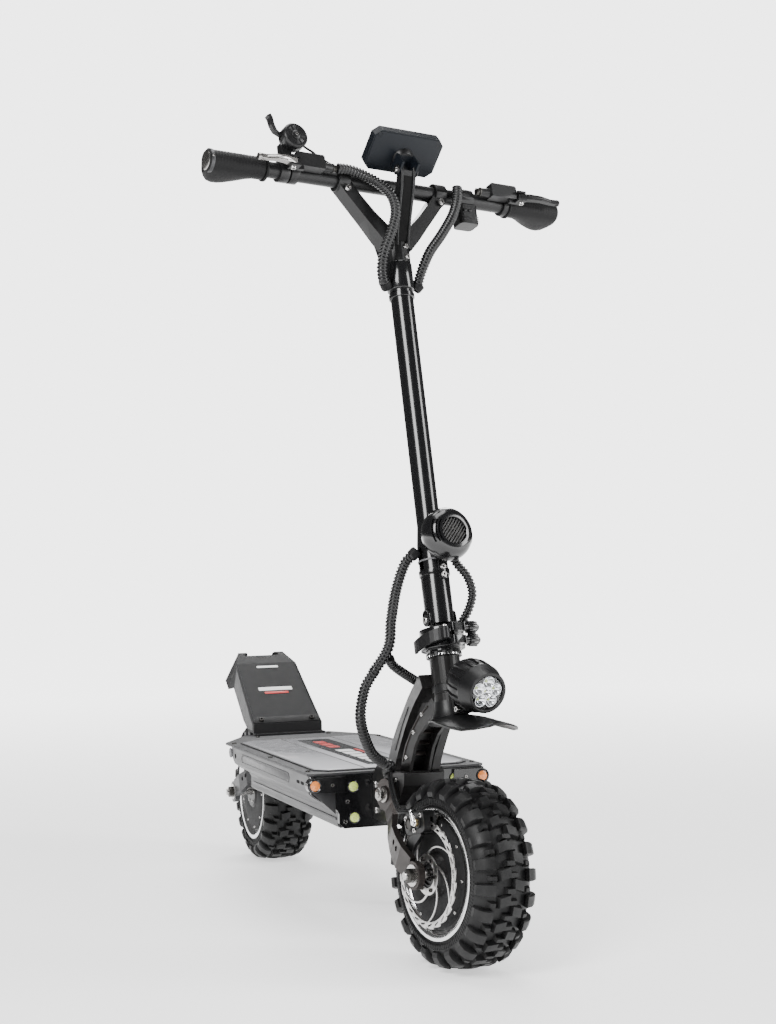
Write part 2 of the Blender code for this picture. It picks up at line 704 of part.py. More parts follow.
node("front_tyre", tyre(), "black_rubber", front_wheel, T((0, 0, 0)) @ Matrix.Rotation(RAKE_RAD, 4, "X"))
node("front_hub_motor", hub_motor(), "dark_cast", front_wheel, Matrix.Rotation(RAKE_RAD, 4, "X"))
node("front_brake_disc", brake_disc(), "steel", front_wheel, Matrix.Rotation(RAKE_RAD, 4, "X"))
node("rear_tyre", tyre(), "black_rubber", rear_wheel)
node("rear_hub_motor", mirrored(hub_motor()), "dark_cast", rear_wheel)
node("rear_brake_disc", mirrored(brake_disc()), "steel", rear_wheel)

TILT_UP = Matrix.Rotation(RAKE_RAD, 4, "X")
node("front_swing_arm", swing_arm(-1, ARM_BOSS_R, FRONT_AXLE_Z), "dark_cast", front_arm, TILT_UP)
node("rear_swing_arm", swing_arm(1, ARM_BOSS_R - 0.0070, TYRE_R), "grey_anodised", rear_arm)
node("front_axle", axle(), "steel", front_arm, T(front_axle_l - front_pivot_l) @ TILT_UP)
node("rear_axle", axle(), "steel", rear_arm, T((0, AXLE_Y - PIVOT_Y, TYRE_R - PIVOT_Z)))
lug_f = strap([(-0.0655, 0.0080, 0.0640), (-0.0655, 0.0280, 0.0420), (-0.0655, 0.0400, 0.0240)],
              [0.022, 0.018, 0.016], 0.0060, (1, 0, 0))
pad_f = rod((-0.0680, 0.0400, 0.0250), (-0.0698, 0.0400, 0.0250), 0.0060, 12)
front_cal = combine(caliper(-14.0), [lug_f, pad_f])
node("front_caliper", front_cal, "black_satin", front_arm, T(front_axle_l - front_pivot_l) @ TILT_UP)
lug_r = strap([(-0.0655, -0.0080, 0.0640), (-0.0655, -0.0280, 0.0420), (-0.0655, -0.0400, 0.0240)],
              [0.022, 0.018, 0.016], 0.0060, (1, 0, 0))
pad_r = rod((-0.0680, -0.0400, 0.0250), (-0.0698, -0.0400, 0.0250), 0.0060, 12)
rear_cal = mirrored(combine(caliper(14.0), [lug_r, pad_r]))
node("rear_caliper", rear_cal, "black_satin", rear_arm, T((0, AXLE_Y - PIVOT_Y, TYRE_R - PIVOT_Z)))


# ================================================================= fork and headset
def fork():
    """Steerer, crown tube, ribbed curved channel and the pivot housing behind the front wheel."""
    steerer = rod((0, 0, HEAD_TUBE_LOW - 0.006), (0, 0, -0.0199), STEERER_R, 24)
    crown = rod((0, 0, -0.1110), (0, 0, HEAD_TUBE_LOW - 0.0005), HEAD_TUBE_R, 32)
    rear = [(-0.456, 0.3835), (-0.440, 0.3720), (-0.4155, 0.3520), (-0.3960, 0.3300), (-0.3810, 0.3060),
            (-0.3725, 0.2820), (-0.3700, 0.2600)]
    front = [(-0.3960, 0.2600), (-0.4000, 0.2820), (-0.4080, 0.3060), (-0.4210, 0.3260), (-0.4400, 0.3430),
             (-0.4560, 0.3540), (-0.4700, 0.3640)]
    leg = moved(prism(rear + front, "X", -0.0185, 0.0185), F_STEER_W)
    inset_rear = [(y - 0.0085, z - 0.0035) for y, z in rear[1:]]
    inset_front = [(-0.4400, 0.2690), (-0.4400, 0.2820), (-0.4500, 0.3060), (-0.4600, 0.3240), (-0.4700, 0.3360)]
    pocket = moved(prism(inset_rear[:-1] + [(-0.3785, 0.2705)] + inset_front, "X", -0.0135, 0.0135), F_STEER_W)
    block = [(-0.4080, 0.2685), (-0.3760, 0.2685), (-0.3540, 0.2600), (-0.3440, 0.2450), (-0.3430, 0.2250),
             (-0.3500, 0.2090), (-0.3690, 0.2035), (-0.3860, 0.2090), (-0.3960, 0.2200), (-0.4000, 0.2360),
             (-0.4080, 0.2500)]
    body = combine(steerer, [crown])
    leg = combine(leg, [pocket], "DIFFERENCE")
    housing = moved(prism(block, "X", -0.0345, 0.0345), F_STEER_W)
    body = combine(body, [leg, housing])
    p = front_pivot_l
    return combine(body, [rod((-0.05, p.y, p.z), (0.05, p.y, p.z), 0.0125, 20)], "DIFFERENCE")


def lock_ring():
    n = 40
    outer = []
    for k in range(n):
        a = 2 * math.pi * k / n
        r = 0.0268 if k % 2 else 0.0256
        outer.append((r * math.cos(a), r * math.sin(a)))
    ring = prism(outer, "Z", HEAD_TUBE_HIGH + GAP, -0.0200)
    return combine(ring, [rod((0, 0, -0.04), (0, 0, 0.0), STEERER_R + GAP, 24)], "DIFFERENCE")


def knuckle():
    """Lower hinge half: a stout plug with a tongue that carries the fold pin."""
    plug = turned([(0.0, -0.0195), (KNUCKLE_R, -0.0195), (KNUCKLE_R, KNUCKLE_TOP - 0.002),
                   (KNUCKLE_R - 0.002, KNUCKLE_TOP), (0.0, KNUCKLE_TOP)], 32, axis="Z")
    tongue = box(-0.0140, 0.0140, -0.0095, 0.0095, 0.010, FOLD_S)
    barrel = rod((-0.0150, 0, FOLD_S), (0.0150, 0, FOLD_S), 0.0100, 20)
    body = combine(plug, [tongue, barrel])
    return combine(body, [rod((-0.03, 0, FOLD_S), (0.03, 0, FOLD_S), 0.0053, 16)], "DIFFERENCE")


def clamp(s0, s1, side):
    """Split collar round the knuckle with a bolt lug at its front."""
    ring = turned([(KNUCKLE_R + GAP, s0), (0.0330, s0), (0.0330, s1), (KNUCKLE_R + GAP, s1)], 24, axis="Z")
    lug = prism(rounded(-0.0100, 0.0095, -0.0490, -0.0270, 0.004, 2), "Z", s0, s1)
    body = combine(ring, [lug])
    mid = (s0 + s1) / 2
    bolt = rod((0.0060, -0.0410, mid), (0.0125, -0.0410, mid), 0.0040, 12)
    body = combine(body, [bolt])
    return body


def clamp_lever():
    """Curved cam lever lying round the collars, on a pin at their front left."""
    pts = []
    for k in range(9):
        a = math.radians(-120 - 68 * k / 8)
        pts.append((0.0465 * math.cos(a), 0.0465 * math.sin(a)))
    for k in range(8, -1, -1):
        a = math.radians(-120 - 68 * k / 8)
        pts.append((0.0425 * math.cos(a), 0.0425 * math.sin(a)))
    arc = prism(pts, "Z", -0.0070, 0.0105)
    for v in arc.verts:
        back = max(0.0, v.co.y + 0.040)
        v.co.z -= back * 0.28
    hub = rod((-0.0205, -0.0420, -0.0070), (-0.0205, -0.0420, 0.0105), 0.0062, 14)
    body = combine(arc, [hub])
    return combine(body, [rod((-0.0205, -0.0420, -0.02), (-0.0205, -0.0420, 0.03), 0.0022, 10)], "DIFFERENCE")


def knob(s):
    """Ribbed thumb nut on a clamp bolt."""
    n = 24
    outer = []
    for k in range(n):
        a = 2 * math.pi * k / n
        r = 0.0092 if k % 4 < 2 else 0.0076
        outer.append((-0.0410 + r * math.cos(a), s + r * math.sin(a)))
    body = prism(outer, "X", 0.0190, 0.0330)
    body = combine(body, [rod((0.0129, -0.0410, s), (0.0200, -0.0410, s), 0.0062, 16),
                          rod((0.0320, -0.0410, s), (0.0385, -0.0410, s), 0.0062, 16, 0.0040)])
    return body


UPPER = (0.0040, 0.0160)
LOWER = (-0.0150, -0.0030)
node("fork", fork(), "dark_cast", steer)
node("lock_ring", lock_ring(), "steel", steer)
node("stem_knuckle", knuckle(), "black_satin", steer)
node("clamp_upper", clamp(UPPER[0], UPPER[1], 1), "black_satin", steer)
node("clamp_lower", clamp(LOWER[0], LOWER[1], 1), "black_satin", steer)
CAM = Vector((-0.0205, -0.0420, 0.0))
cam = empty("clamp_lever_axis", steer, T(CAM))
node("clamp_lever", clamp_lever(), "grey_anodised", cam, T(-CAM))
for label, (s0, s1) in (("upper", UPPER), ("lower", LOWER)):
    mid = (s0 + s1) / 2
    pin = empty("clamp_knob_%s_axis" % label, steer, T((0, -0.0410, mid)))
    node("clamp_knob_%s" % label, knob(mid), "black_satin", pin, T((0, 0.0410, -mid)))


def fender():
    """Short curved beak under the crown."""
    rows = [(0.0180, 0.030, -0.1125, 0.006), (-0.0050, 0.038, -0.1128, 0.009), (-0.0300, 0.044, -0.1175, 0.013),
            (-0.0600, 0.047, -0.1235, 0.016), (-0.0900, 0.045, -0.1340, 0.015), (-0.1150, 0.036, -0.1430, 0.009),
            (-0.1300, 0.020, -0.1480, 0.003)]
    cols = 8
    t = 0.0028
    bm = bmesh.new()
    top = []
    low = []
    for b, w, s, drop in rows:
        tr = []
        lr = []
        for k in range(cols + 1):
            u = -1 + 2 * k / cols
            p = Vector((u * w, b, s - drop * u * u))
            tr.append(bm.verts.new(p))
            lr.append(bm.verts.new(p - Vector((0, 0, t))))
        top.append(tr)
        low.append(lr)
    for i in range(len(rows) - 1):
        for k in range(cols):
            bm.faces.new((top[i][k], top[i][k + 1], top[i + 1][k + 1], top[i + 1][k]))
            bm.faces.new((low[i][k], low[i + 1][k], low[i + 1][k + 1], low[i][k + 1]))
        bm.faces.new((top[i][0], top[i + 1][0], low[i + 1][0], low[i][0]))
        bm.faces.new((top[i][cols], low[i][cols], low[i + 1][cols], top[i + 1][cols]))
    for k in range(cols):
        bm.faces.new((top[0][k], low[0][k], low[0][k + 1], top[0][k + 1]))
        bm.faces.new((top[-1][k], top[-1][k + 1], low[-1][k + 1], low[-1][k]))
    return recalc(bm)


node("front_fender", fender(), "black_satin", steer)

# headlight: barrel tilted a little down, on a bracket from the crown
LENS_C = local(-0.5717, 0.3987)
LAMP_BACK = local(-0.4993, 0.4181)
LAMP_DIR = (LENS_C - LAMP_BACK).normalized()
LAMP_FRAME = T(LENS_C) @ LAMP_DIR.to_track_quat("Z", "Y").to_matrix().to_4x4()
LAMP_TILT = Vector((0.0, -0.0400, -0.1115))


def headlight_body():
    prof = [(0.0, -0.0680), (0.0235, -0.0680), (0.0290, -0.0635), (0.0345, -0.0520), (0.0372, -0.0380),
            (0.0350, -0.0170), (0.0302, 0.0000), (0.0290, 0.0050), (0.0245, 0.0050), (0.0232, -0.0060),
            (0.0, -0.0060)]
    barrel = moved(turned(prof, 28, axis="Z"), LAMP_FRAME)
    p = LAMP_TILT
    lug = box(-0.0070, 0.0070, p.y - 0.0050, p.y + 0.0046, p.z, p.z + 0.0180)
    eye = rod((-0.0070, p.y, p.z), (0.0070, p.y, p.z), 0.0048, 16)
    return combine(barrel, [lug, eye])


def lamp_bracket():
    """Bracket from the crown's front to a fork that holds the lamp's lug."""
    p = LAMP_TILT
    base = box(-0.0112, 0.0112, -0.0275, -0.0231, -0.1108, -0.0880)
    parts = [box(-0.0112, 0.0112, -0.0310, -0.0235, -0.1162, -0.1060)]
    for s in (1, -1):
        a = sorted((s * 0.0074, s * 0.0112))
        ear = [(p.y - 0.0048, p.z - 0.0047), (p.y - 0.0048, p.z - 0.0005), (p.y + 0.0010, p.z + 0.0020),
               (-0.0290, p.z + 0.0047), (-0.0290, p.z - 0.0047)]
        parts.append(prism(ear, "X", a[0], a[1]))
        parts.append(rod((s * 0.0100, p.y, p.z), (s * 0.0138, p.y, p.z), 0.0040, 6))
    return combine(base, parts)


tilt = empty("headlight_axis", steer, T(LAMP_TILT))
node("headlight_body", headlight_body(), "black_satin", tilt, T(-LAMP_TILT))
lens = turned([(0.0, -0.0054), (0.0228, -0.0054), (0.0238, 0.0040), (0.0150, 0.0062), (0.0, 0.0070)], 28, axis="Z")
node("headlight_lens", lens, "clear_lens", tilt, T(-LAMP_TILT) @ LAMP_FRAME)
node("lamp_bracket", lamp_bracket(), "black_satin", steer)


# ================================================================= stem, yoke and bar
def stem_tube():
    """Hollow mast, thicker below, its rear foot cut away so that it can fold over the knuckle."""
    t = 0.0033
    s0 = KNUCKLE_TOP + GAP
    prof = [(STEM_R_LOW - t, s0), (STEM_R_LOW, s0), (STEM_R_LOW, 0.1450), (STEM_R_HIGH, 0.1750),
            (STEM_R_HIGH, STEM_TOP), (STEM_R_HIGH - t, STEM_TOP), (STEM_R_HIGH - t, 0.1750), (STEM_R_LOW - t, 0.1450)]
    body = turned(prof, 24, axis="Z")
    away = prism([(0.0105, 0.0800), (0.0105, 0.0300), (0.0, 0.0180), (0.0, 0.0), (0.04, 0.0), (0.04, 0.0900),
                  (0.0200, 0.0900)], "X", -0.04, 0.04)
    hole = rod((-0.04, 0, FOLD_S), (0.04, 0, FOLD_S), 0.0053, 16)
    slot = prism(rounded(-0.0050, 0.0050, 0.1010, 0.1420, 0.0048, 3), "X", -0.04, 0.0)
    collar = turned([(STEM_R_HIGH - 0.001, 0.5460), (0.0200, 0.5460), (0.0200, 0.5530), (STEM_R_HIGH - 0.001, 0.5530)],
                    24, axis="Z")
    body = combine(body, [collar])
    return combine(body, [away, hole, slot], "DIFFERENCE")


def yoke():
    """Socket on the mast, two arms to the bar and a curved post to the display."""
    s_top = 0.6680
    socket = turned([(0.0, 0.5600), (0.0, s_top), (0.0165, s_top), (0.0208, 0.6500), (0.0200, 0.5600)], 24,
                    axis="Z")
    parts = []
    for s in (1, -1):
        path = [(s * 0.0080, 0, 0.6340), (s * 0.0260, 0, 0.6530), (s * 0.0480, 0, 0.6780), (s * 0.0700, 0, 0.7050),
                (s * 0.0885, 0, 0.7300)]
        parts.append(strap(path, [0.028, 0.026, 0.022, 0.021, 0.022], [0.032, 0.030, 0.027, 0.026, 0.026], (0, 1, 0)))
        a = sorted((s * 0.0790, s * 0.0980))
        parts.append(rod((a[0], 0, BAR_S), (a[1], 0, BAR_S), 0.0178, 20))
        ear = [(-0.004, 0.600), (-0.004, 0.622), (0.0230, 0.668), (0.0345, 0.668), (0.0345, 0.655), (0.016, 0.600)]
        e = sorted((s * 0.0173, s * 0.0203))
        parts.append(prism(ear, "X", e[0], e[1]))
    post = [(0, -0.0060, 0.6370), (0, -0.0150, 0.6560), (0, -0.0255, 0.6760), (0, -0.0370, 0.6980),
            (0, -0.0480, 0.7200), (0, -0.0555, 0.7410)]
    parts.append(strap(post, [0.022, 0.021, 0.019, 0.018, 0.016, 0.014], 0.0240, (1, 0, 0)))
    body = combine(socket, parts)
    return combine(body, [rod((0, 0, 0.50), (0, 0, STEM_TOP + GAP), STEM_R_HIGH + GAP, 28),
                          rod((-0.12, 0, BAR_S), (0.12, 0, BAR_S), BAR_R + GAP, 20),
                          rod((-0.03, -0.0555, 0.7405), (0.03, -0.0555, 0.7405), 0.0030, 10)], "DIFFERENCE")


def grip(s):
    """Soft grip with a palm wing that points back and a little down."""
    x0 = s * 0.2240
    x1 = s * GRIP_END
    body = pipe((x0, 0, BAR_S), (x1, 0, BAR_S), GRIP_R, BAR_R + GAP, 20)
    bm = bmesh.new()
    rows = [(0.2300, 0.0190, 0.006), (0.2440, 0.0205, 0.008), (0.2620, 0.0270, 0.009), (0.2840, 0.0350, 0.009),
            (0.3020, 0.0360, 0.009), (0.3130, 0.0300, 0.008), (0.3170, 0.0230, 0.006)]
    d = Vector((0, 0.86, -0.51))
    up = Vector((0, 0.51, 0.86))
    rings = []
    for x, reach, t in rows:
        c = Vector((s * x, 0, BAR_S))
        ring = []
        mid = 0.0150 + 0.6 * (reach - 0.0150)
        for u, v in ((0.0150, 1.0), (mid, 0.9), (reach, 0.0), (mid, -0.9), (0.0150, -1.0)):
            ring.append(bm.verts.new(c + d * u + up * (v * t)))
        rings.append(ring)
    for a, b in zip(rings, rings[1:]):
        for i in range(5):
            j = (i + 1) % 5
            bm.faces.new((a[i], a[j], b[j], b[i]))
    bm.faces.new(rings[0])
    bm.faces.new(rings[-1][::-1])
    recalc(bm)
    return combine(body, [bm])


def perch(s, x_in):
    """Brake master cylinder on a bar clamp; x_in is its inner end."""
    x_clamp = x_in + 0.0600
    a = sorted((s * (x_clamp - 0.0065), s * (x_clamp + 0.0065)))
    ring = pipe((a[0], 0, BAR_S), (a[1], 0, BAR_S), 0.0168, BAR_R + GAP, 20)
    b = sorted((s * (x_in + 0.0180), s * (x_clamp + 0.0065)))
    reservoir = box(b[0], b[1], -0.0350, -0.0170, BAR_S - 0.0030, BAR_S + 0.0185)
    barrel = rod((s * x_in, -0.0240, BAR_S + 0.0060), (s * (x_in + 0.03), -0.0250, BAR_S + 0.0060), 0.0065, 14, 0.0085)
    link = box(a[0], a[1], -0.0200, -0.0145, BAR_S - 0.0060, BAR_S + 0.0080)
    c = sorted((s * (x_clamp + 0.0040), s * (x_clamp + 0.0200)))
    ear_top = box(c[0], c[1], -0.0420, -0.0240, BAR_S + 0.0062, BAR_S + 0.0095)
    ear_low = box(c[0], c[1], -0.0420, -0.0240, BAR_S - 0.0075, BAR_S - 0.0042)
    tail = box(a[0], a[1], -0.0300, -0.0240, BAR_S - 0.0075, BAR_S + 0.0095)
    return combine(ring, [reservoir, barrel, link, ear_top, ear_low, tail])


def brake_lever(s, x_in, reach):
    """Forged lever between the perch's ears."""
    px = x_in + 0.0600 + 0.0140
    path = [(s * (px - 0.006), -0.0330, BAR_S + 0.001), (s * px, -0.0330, BAR_S + 0.001),
            (s * (px + reach * 0.24), -0.0375, BAR_S + 0.001), (s * (px + reach * 0.52), -0.0400, BAR_S),
            (s * (px + reach * 0.82), -0.0375, BAR_S - 0.001), (s * (px + reach), -0.0380, BAR_S - 0.001)]
    body = strap(path, [0.012, 0.014, 0.011, 0.009, 0.008, 0.009], [0.0096, 0.0096, 0.0096, 0.009, 0.008, 0.008],
                 (0, 0, 1))
    return body, Vector((s * px, -0.0330, BAR_S + 0.001))


def throttle_body():
    """Round throttle housing on a bar clamp."""
    x = -0.1810
    s = BAR_S + 0.0450
    ring = pipe((x - 0.0075 - 0.010, 0, BAR_S), (x + 0.0075 - 0.010, 0, BAR_S), 0.0168, BAR_R + GAP, 20)
    stalk = box(x - 0.0175, x - 0.0025, -0.0240, -0.0060, BAR_S + 0.0138, s - 0.0060)
    drum = turned([(0.0, -0.0400), (0.0180, -0.0400), (0.0208, -0.0370), (0.0208, -0.0200), (0.0190, -0.0175),
                   (0.0, -0.0175)], 24, origin=(x, 0, s), axis="Y")
    cut = turned([(0.0150, -0.0310), (0.0300, -0.0310), (0.0300, -0.0250), (0.0150, -0.0250)], 24, origin=(x, 0, s),
                 axis="Y")
    body = combine(ring, [stalk, drum])
    return combine(body, [cut], "DIFFERENCE"), Vector((x, -0.0280, s))


def throttle_trigger(c):
    """Hooked finger trigger on a ring inside the throttle housing."""
    ring = turned([(0.0154, -0.0306), (0.0205, -0.0306), (0.0205, -0.0254), (0.0154, -0.0254)], 24,
                  origin=(c.x, 0, c.z), axis="Y")
    path = [(c.x - 0.0170, -0.0280, c.z + 0.004), (c.x - 0.0240, -0.0280, c.z + 0.002),
            (c.x - 0.0310, -0.0280, c.z + 0.0065), (c.x - 0.0350, -0.0280, c.z + 0.0160),
            (c.x - 0.0370, -0.0280, c.z + 0.0270), (c.x - 0.0400, -0.0280, c.z + 0.0320)]
    blade = strap(path, [0.008, 0.007, 0.0065, 0.006, 0.006, 0.007], [0.005, 0.005, 0.008, 0.010, 0.011, 0.010],
                  (0, 1, 0))
    return combine(ring, [blade])


DISPLAY = Matrix.Translation((0, -0.0554, 0.7698)) @ Matrix.Rotation(math.radians(-34.0), 4, "X")


def display_housing():
    """Eight-sided case; its frame has the screen facing +Z and its lower edge at +Y."""
    hx, hy, c = 0.0620, 0.0340, 0.0100
    pts = [(-hx, -hy + c), (-hx + c, -hy), (hx - c, -hy), (hx, -hy + c), (hx, hy - c), (hx - c, hy), (-hx + c, hy),
           (-hx, hy - c)]
    case = prism(pts, "Z", 0.0, 0.0150)
    window = box(-0.0460, 0.0460, -0.0255, 0.0210, 0.0130, 0.0200)
    case = combine(case, [window], "DIFFERENCE")
    boss = rod((0, 0.0070, -0.0060), (0, 0.0070, 0.0010), 0.0150, 20)
    ear = []
    for s in (1, -1):
        a = sorted((s * 0.0124, s * 0.0160))
        ear.append(box(a[0], a[1], -0.0020, 0.0225, -0.0310, -0.0040))
    ear.append(box(-0.0160, 0.0160, -0.0020, 0.0225, -0.0090, -0.0040))
    body = combine(case, [boss] + ear)
    return combine(body, [box(-0.0064, 0.0064, 0.0243, 0.0307, 0.0090, 0.0200)], "DIFFERENCE")


def horn():
    """Round horn with a ring-shaped bezel, on a band bracket round the mast."""
    c = 0.1500
    puck = turned([(0.0, -0.0300), (0.0330, -0.0300), (0.0385, -0.0360), (0.0403, -0.0460), (0.0375, -0.0590),
                   (0.0300, -0.0670), (0.0205, -0.0690), (0.0195, -0.0650), (0.0, -0.0650)], 22, origin=(0, 0, c),
                  axis="Y")
    band = turned([(STEM_R_LOW + GAP, 0.0900), (0.0250, 0.0900), (0.0250, 0.1130), (STEM_R_LOW + GAP, 0.1130)], 28,
                  axis="Z")
    plate = box(-0.0110, 0.0110, -0.0320, -0.0235, 0.0900, 0.1250)
    body = combine(puck, [band, plate])
    return combine(body, [rod((0, 0, 0.05), (0, 0, 0.25), STEM_R_LOW + GAP, 28)], "DIFFERENCE")


def switch_pod():
    """Pod with the lamp and horn switches, hanging under the bar."""
    x0, x1 = 0.1250, 0.1500
    ring = pipe((x0, 0, BAR_S), (x1, 0, BAR_S), 0.0172, BAR_R + GAP, 20)
    pod = prism(rounded(x0 - 0.003, x1 + 0.007, -0.0140, 0.0150, 0.006, 2), "Z", BAR_S - 0.0480, BAR_S - 0.0140)
    body = combine(ring, [pod])
    return combine(body, [rod((0.1395, 0.005, BAR_S - 0.0320), (0.1395, 0.030, BAR_S - 0.0320), 0.0071, 20)],
                   "DIFFERENCE")


node("stem_tube", stem_tube(), "black_gloss", fold, F_FOLD)
node("yoke", yoke(), "black_satin", fold, F_FOLD)
bar = turned([(0.0105, -BAR_HALF), (BAR_R, -BAR_HALF), (BAR_R, BAR_HALF), (0.0105, BAR_HALF)], 20,
             origin=(0, 0, BAR_S))
node("handlebar", bar, "black_gloss", fold, F_FOLD)
pin = turned([(0.0, -0.0252), (0.0085, -0.0252), (0.0085, -0.0218), (0.0050, -0.0218), (0.0050, 0.0218),
              (0.0085, 0.0218), (0.0085, 0.0252), (0.0, 0.0252)], 16, origin=(0, 0, FOLD_S))
node("fold_pin", pin, "steel", fold, F_FOLD)
for s, label in ((-1, "right"), (1, "left")):
    node("grip_%s" % label, grip(s), "black_rubber", fold, F_FOLD)
PERCH_IN = {-1: 0.1140, 1: 0.1570}
LEVER_REACH = {-1: 0.0580, 1: 0.0680}
for s, label in ((-1, "right"), (1, "left")):
    node("brake_perch_%s" % label, perch(s, PERCH_IN[s]), "black_satin", fold, F_FOLD)
    blade, at = brake_lever(s, PERCH_IN[s], LEVER_REACH[s])
    hinge = empty("brake_lever_%s_axis" % label, fold, T(at) @ T((0, 0, -FOLD_S)))
    node("brake_lever_%s" % label, blade, "steel" if s < 0 else "dark_steel", hinge, T(-at))
body, throttle_c = throttle_body()
node("throttle_body", body, "black_plastic", fold, F_FOLD)
trig = empty("throttle_axis", fold, T(throttle_c) @ T((0, 0, -FOLD_S)))
node("throttle_trigger", throttle_trigger(throttle_c), "black_plastic", trig, T(-throttle_c))
node("display_housing", display_housing(), "black_plastic", fold, F_FOLD @ DISPLAY)
screen = box(-0.0456, 0.0456, -0.0251, 0.0206, 0.0133, 0.0148)
node("display_screen", screen, "black_gloss", fold, F_FOLD @ DISPLAY)
button_at = F_FOLD @ DISPLAY @ T((0, 0.0275, 0.0120))
button = empty("display_button_axis", fold, button_at)
node("display_button", box(-0.0060, 0.0060, -0.0028, 0.0028, 0.0, 0.0050), "black_plastic", button)
node("horn", horn(), "black_plastic", fold, F_FOLD)
node("switch_pod", switch_pod(), "black_plastic", fold, F_FOLD)
press = empty("horn_button_axis", fold, T((0.1395, 0.0130, BAR_S - 0.0320 - FOLD_S)))
node("horn_button", rod((0, 0, 0), (0, 0.0045, 0), 0.0067, 20), "red_lens", press)


def fold_hook():
    """Hook strap that hangs behind the mast from a pin on the yoke."""
    path = [(0.0, 0.0290, 0.6600), (0.0, 0.0300, 0.6400), (0.0, 0.0270, 0.6200), (0.0, 0.0262, 0.6050),
            (0.0, 0.0262, 0.5880)]
    body = strap(path, [0.0050] * 5, 0.0300, (1, 0, 0))
    lip = box(-0.0150, 0.0150, 0.0240, 0.0390, 0.5855, 0.5905)
    eye = rod((-0.0170, 0.0290, 0.6620), (0.0170, 0.0290, 0.6620), 0.0052, 12)
    body = combine(body, [lip, eye])
    window = box(-0.0100, 0.0100, 0.0200, 0.0340, 0.5930, 0.6040)
    return combine(body, [window], "DIFFERENCE")


hook_at = Vector((0, 0.0290, 0.6620))
hook = empty("fold_hook_axis", fold, T(hook_at) @ T((0, 0, -FOLD_S)))
node("fold_hook", fold_hook(), "black_satin", hook, T(-hook_at))

# ================================================================= cables
cable("bar_cable_right", [(-0.1060, -0.0265, BAR_S + 0.0060), (-0.0840, -0.0272, 0.7430), (-0.0580, -0.0280, 0.7360),
                          (-0.0370, -0.0340, 0.7220), (-0.0240, -0.0430, 0.7000), (-0.0220, -0.0460, 0.6720),
                          (-0.0300, -0.0420, 0.6420), (-0.0410, -0.0330, 0.6120), (-0.0430, -0.0220, 0.5890),
                          (-0.0370, -0.0110, 0.5730), (-0.0284, -0.0030, 0.5650)],
      CABLE_R, "black_rubber", fold, F_FOLD)
cable("bar_cable_left", [(0.1150, -0.0230, 0.7440), (0.1110, -0.0240, 0.7240), (0.0990, -0.0250, 0.6940),
                         (0.0730, -0.0255, 0.6560), (0.0480, -0.0240, 0.6240), (0.0350, -0.0180, 0.5980),
                         (0.0300, -0.0090, 0.5790), (0.0284, -0.0040, 0.5680)],
      CABLE_R, "black_rubber", fold, F_FOLD)
HARNESS = [(-0.0300, 0.0020, 0.1330), (-0.0430, 0.0120, 0.1180), (-0.0577, 0.0200, 0.0804), (-0.0720, 0.0200, 0.0344),
           (-0.0800, 0.0230, -0.0060), (-0.1020, 0.0380, -0.0420), (-0.1130, 0.0500, -0.0655),
           (-0.1130, 0.0690, -0.1050), (-0.0880, 0.0950, -0.1450), (-0.0600, 0.1120, -0.1600),
           (-0.0440, 0.1170, -0.1655)]
cable("stem_harness", HARNESS, CABLE_R, "black_rubber", steer)
cable("horn_cable", [(0.0200, -0.0330, 0.1080), (0.0330, -0.0380, 0.0880), (0.0385, -0.0370, 0.0640),
                     (0.0350, -0.0300, 0.0420), (0.0300, -0.0170, 0.0300)],
      0.0062, "black_rubber", fold, F_FOLD)
NECK_END = STEERED.inverted() @ Vector((-0.0180, -0.3950, 0.4020))
cable("deck_harness", [(-0.0735, 0.0345, -0.0200), (-0.0640, 0.0440, -0.0270),
                       tuple(Vector((-0.0480, 0.0490, -0.0360))), tuple(NECK_END)],
      0.0066, "black_rubber", steer)
hose = [local(-0.3890, 0.2660, -0.0500), local(-0.4020, 0.2500, -0.0530), local(-0.4250, 0.2320, -0.0580),
        local(-0.4470, 0.2250, -0.0660), local(-0.4620, 0.2200, -0.0755)]
cable("brake_hose_front", [tuple(p) for p in hose], HOSE_R, "black_rubber", steer, spacing=0.008)
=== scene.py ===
"""Looks of the electric kick scooter: materials on the CAD nodes, and detailed pieces over the plain ones.

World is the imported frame. STEER is the steering assembly: X across the bar, -Y forward, Z up the mast. LEVEL takes a
point given in the world, with the wheel straight ahead, into STEER. Lengths are in metres.
"""

import json
from math import atan2, cos, exp, pi, radians, sin, sqrt, tanh, tau

import bmesh
import bpy
from mathutils import Matrix, Vector


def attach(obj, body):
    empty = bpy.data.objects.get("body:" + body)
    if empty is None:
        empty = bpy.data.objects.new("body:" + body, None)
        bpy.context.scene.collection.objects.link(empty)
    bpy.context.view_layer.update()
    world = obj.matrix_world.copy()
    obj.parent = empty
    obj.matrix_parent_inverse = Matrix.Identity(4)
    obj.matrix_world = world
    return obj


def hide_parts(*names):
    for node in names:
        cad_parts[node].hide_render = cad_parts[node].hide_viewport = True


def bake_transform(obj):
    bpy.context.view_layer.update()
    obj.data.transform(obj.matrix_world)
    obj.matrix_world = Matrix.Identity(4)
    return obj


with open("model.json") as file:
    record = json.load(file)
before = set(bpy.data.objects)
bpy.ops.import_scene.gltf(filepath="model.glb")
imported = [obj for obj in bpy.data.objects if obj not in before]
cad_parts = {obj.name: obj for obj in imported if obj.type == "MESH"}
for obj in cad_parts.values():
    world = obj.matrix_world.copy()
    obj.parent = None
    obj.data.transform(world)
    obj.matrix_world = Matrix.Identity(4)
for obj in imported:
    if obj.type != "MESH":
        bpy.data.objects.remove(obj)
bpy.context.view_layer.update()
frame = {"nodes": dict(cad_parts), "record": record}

# ---- sizes shared with the CAD (metres)
TYRE_R = 0.1357
RIM_R = 0.0925
BAR_S = 0.737
BAR_R = 0.0127
CABLE_R = 0.0078
DECK_TOP = 0.2555
DECK_FRONT = -0.2378
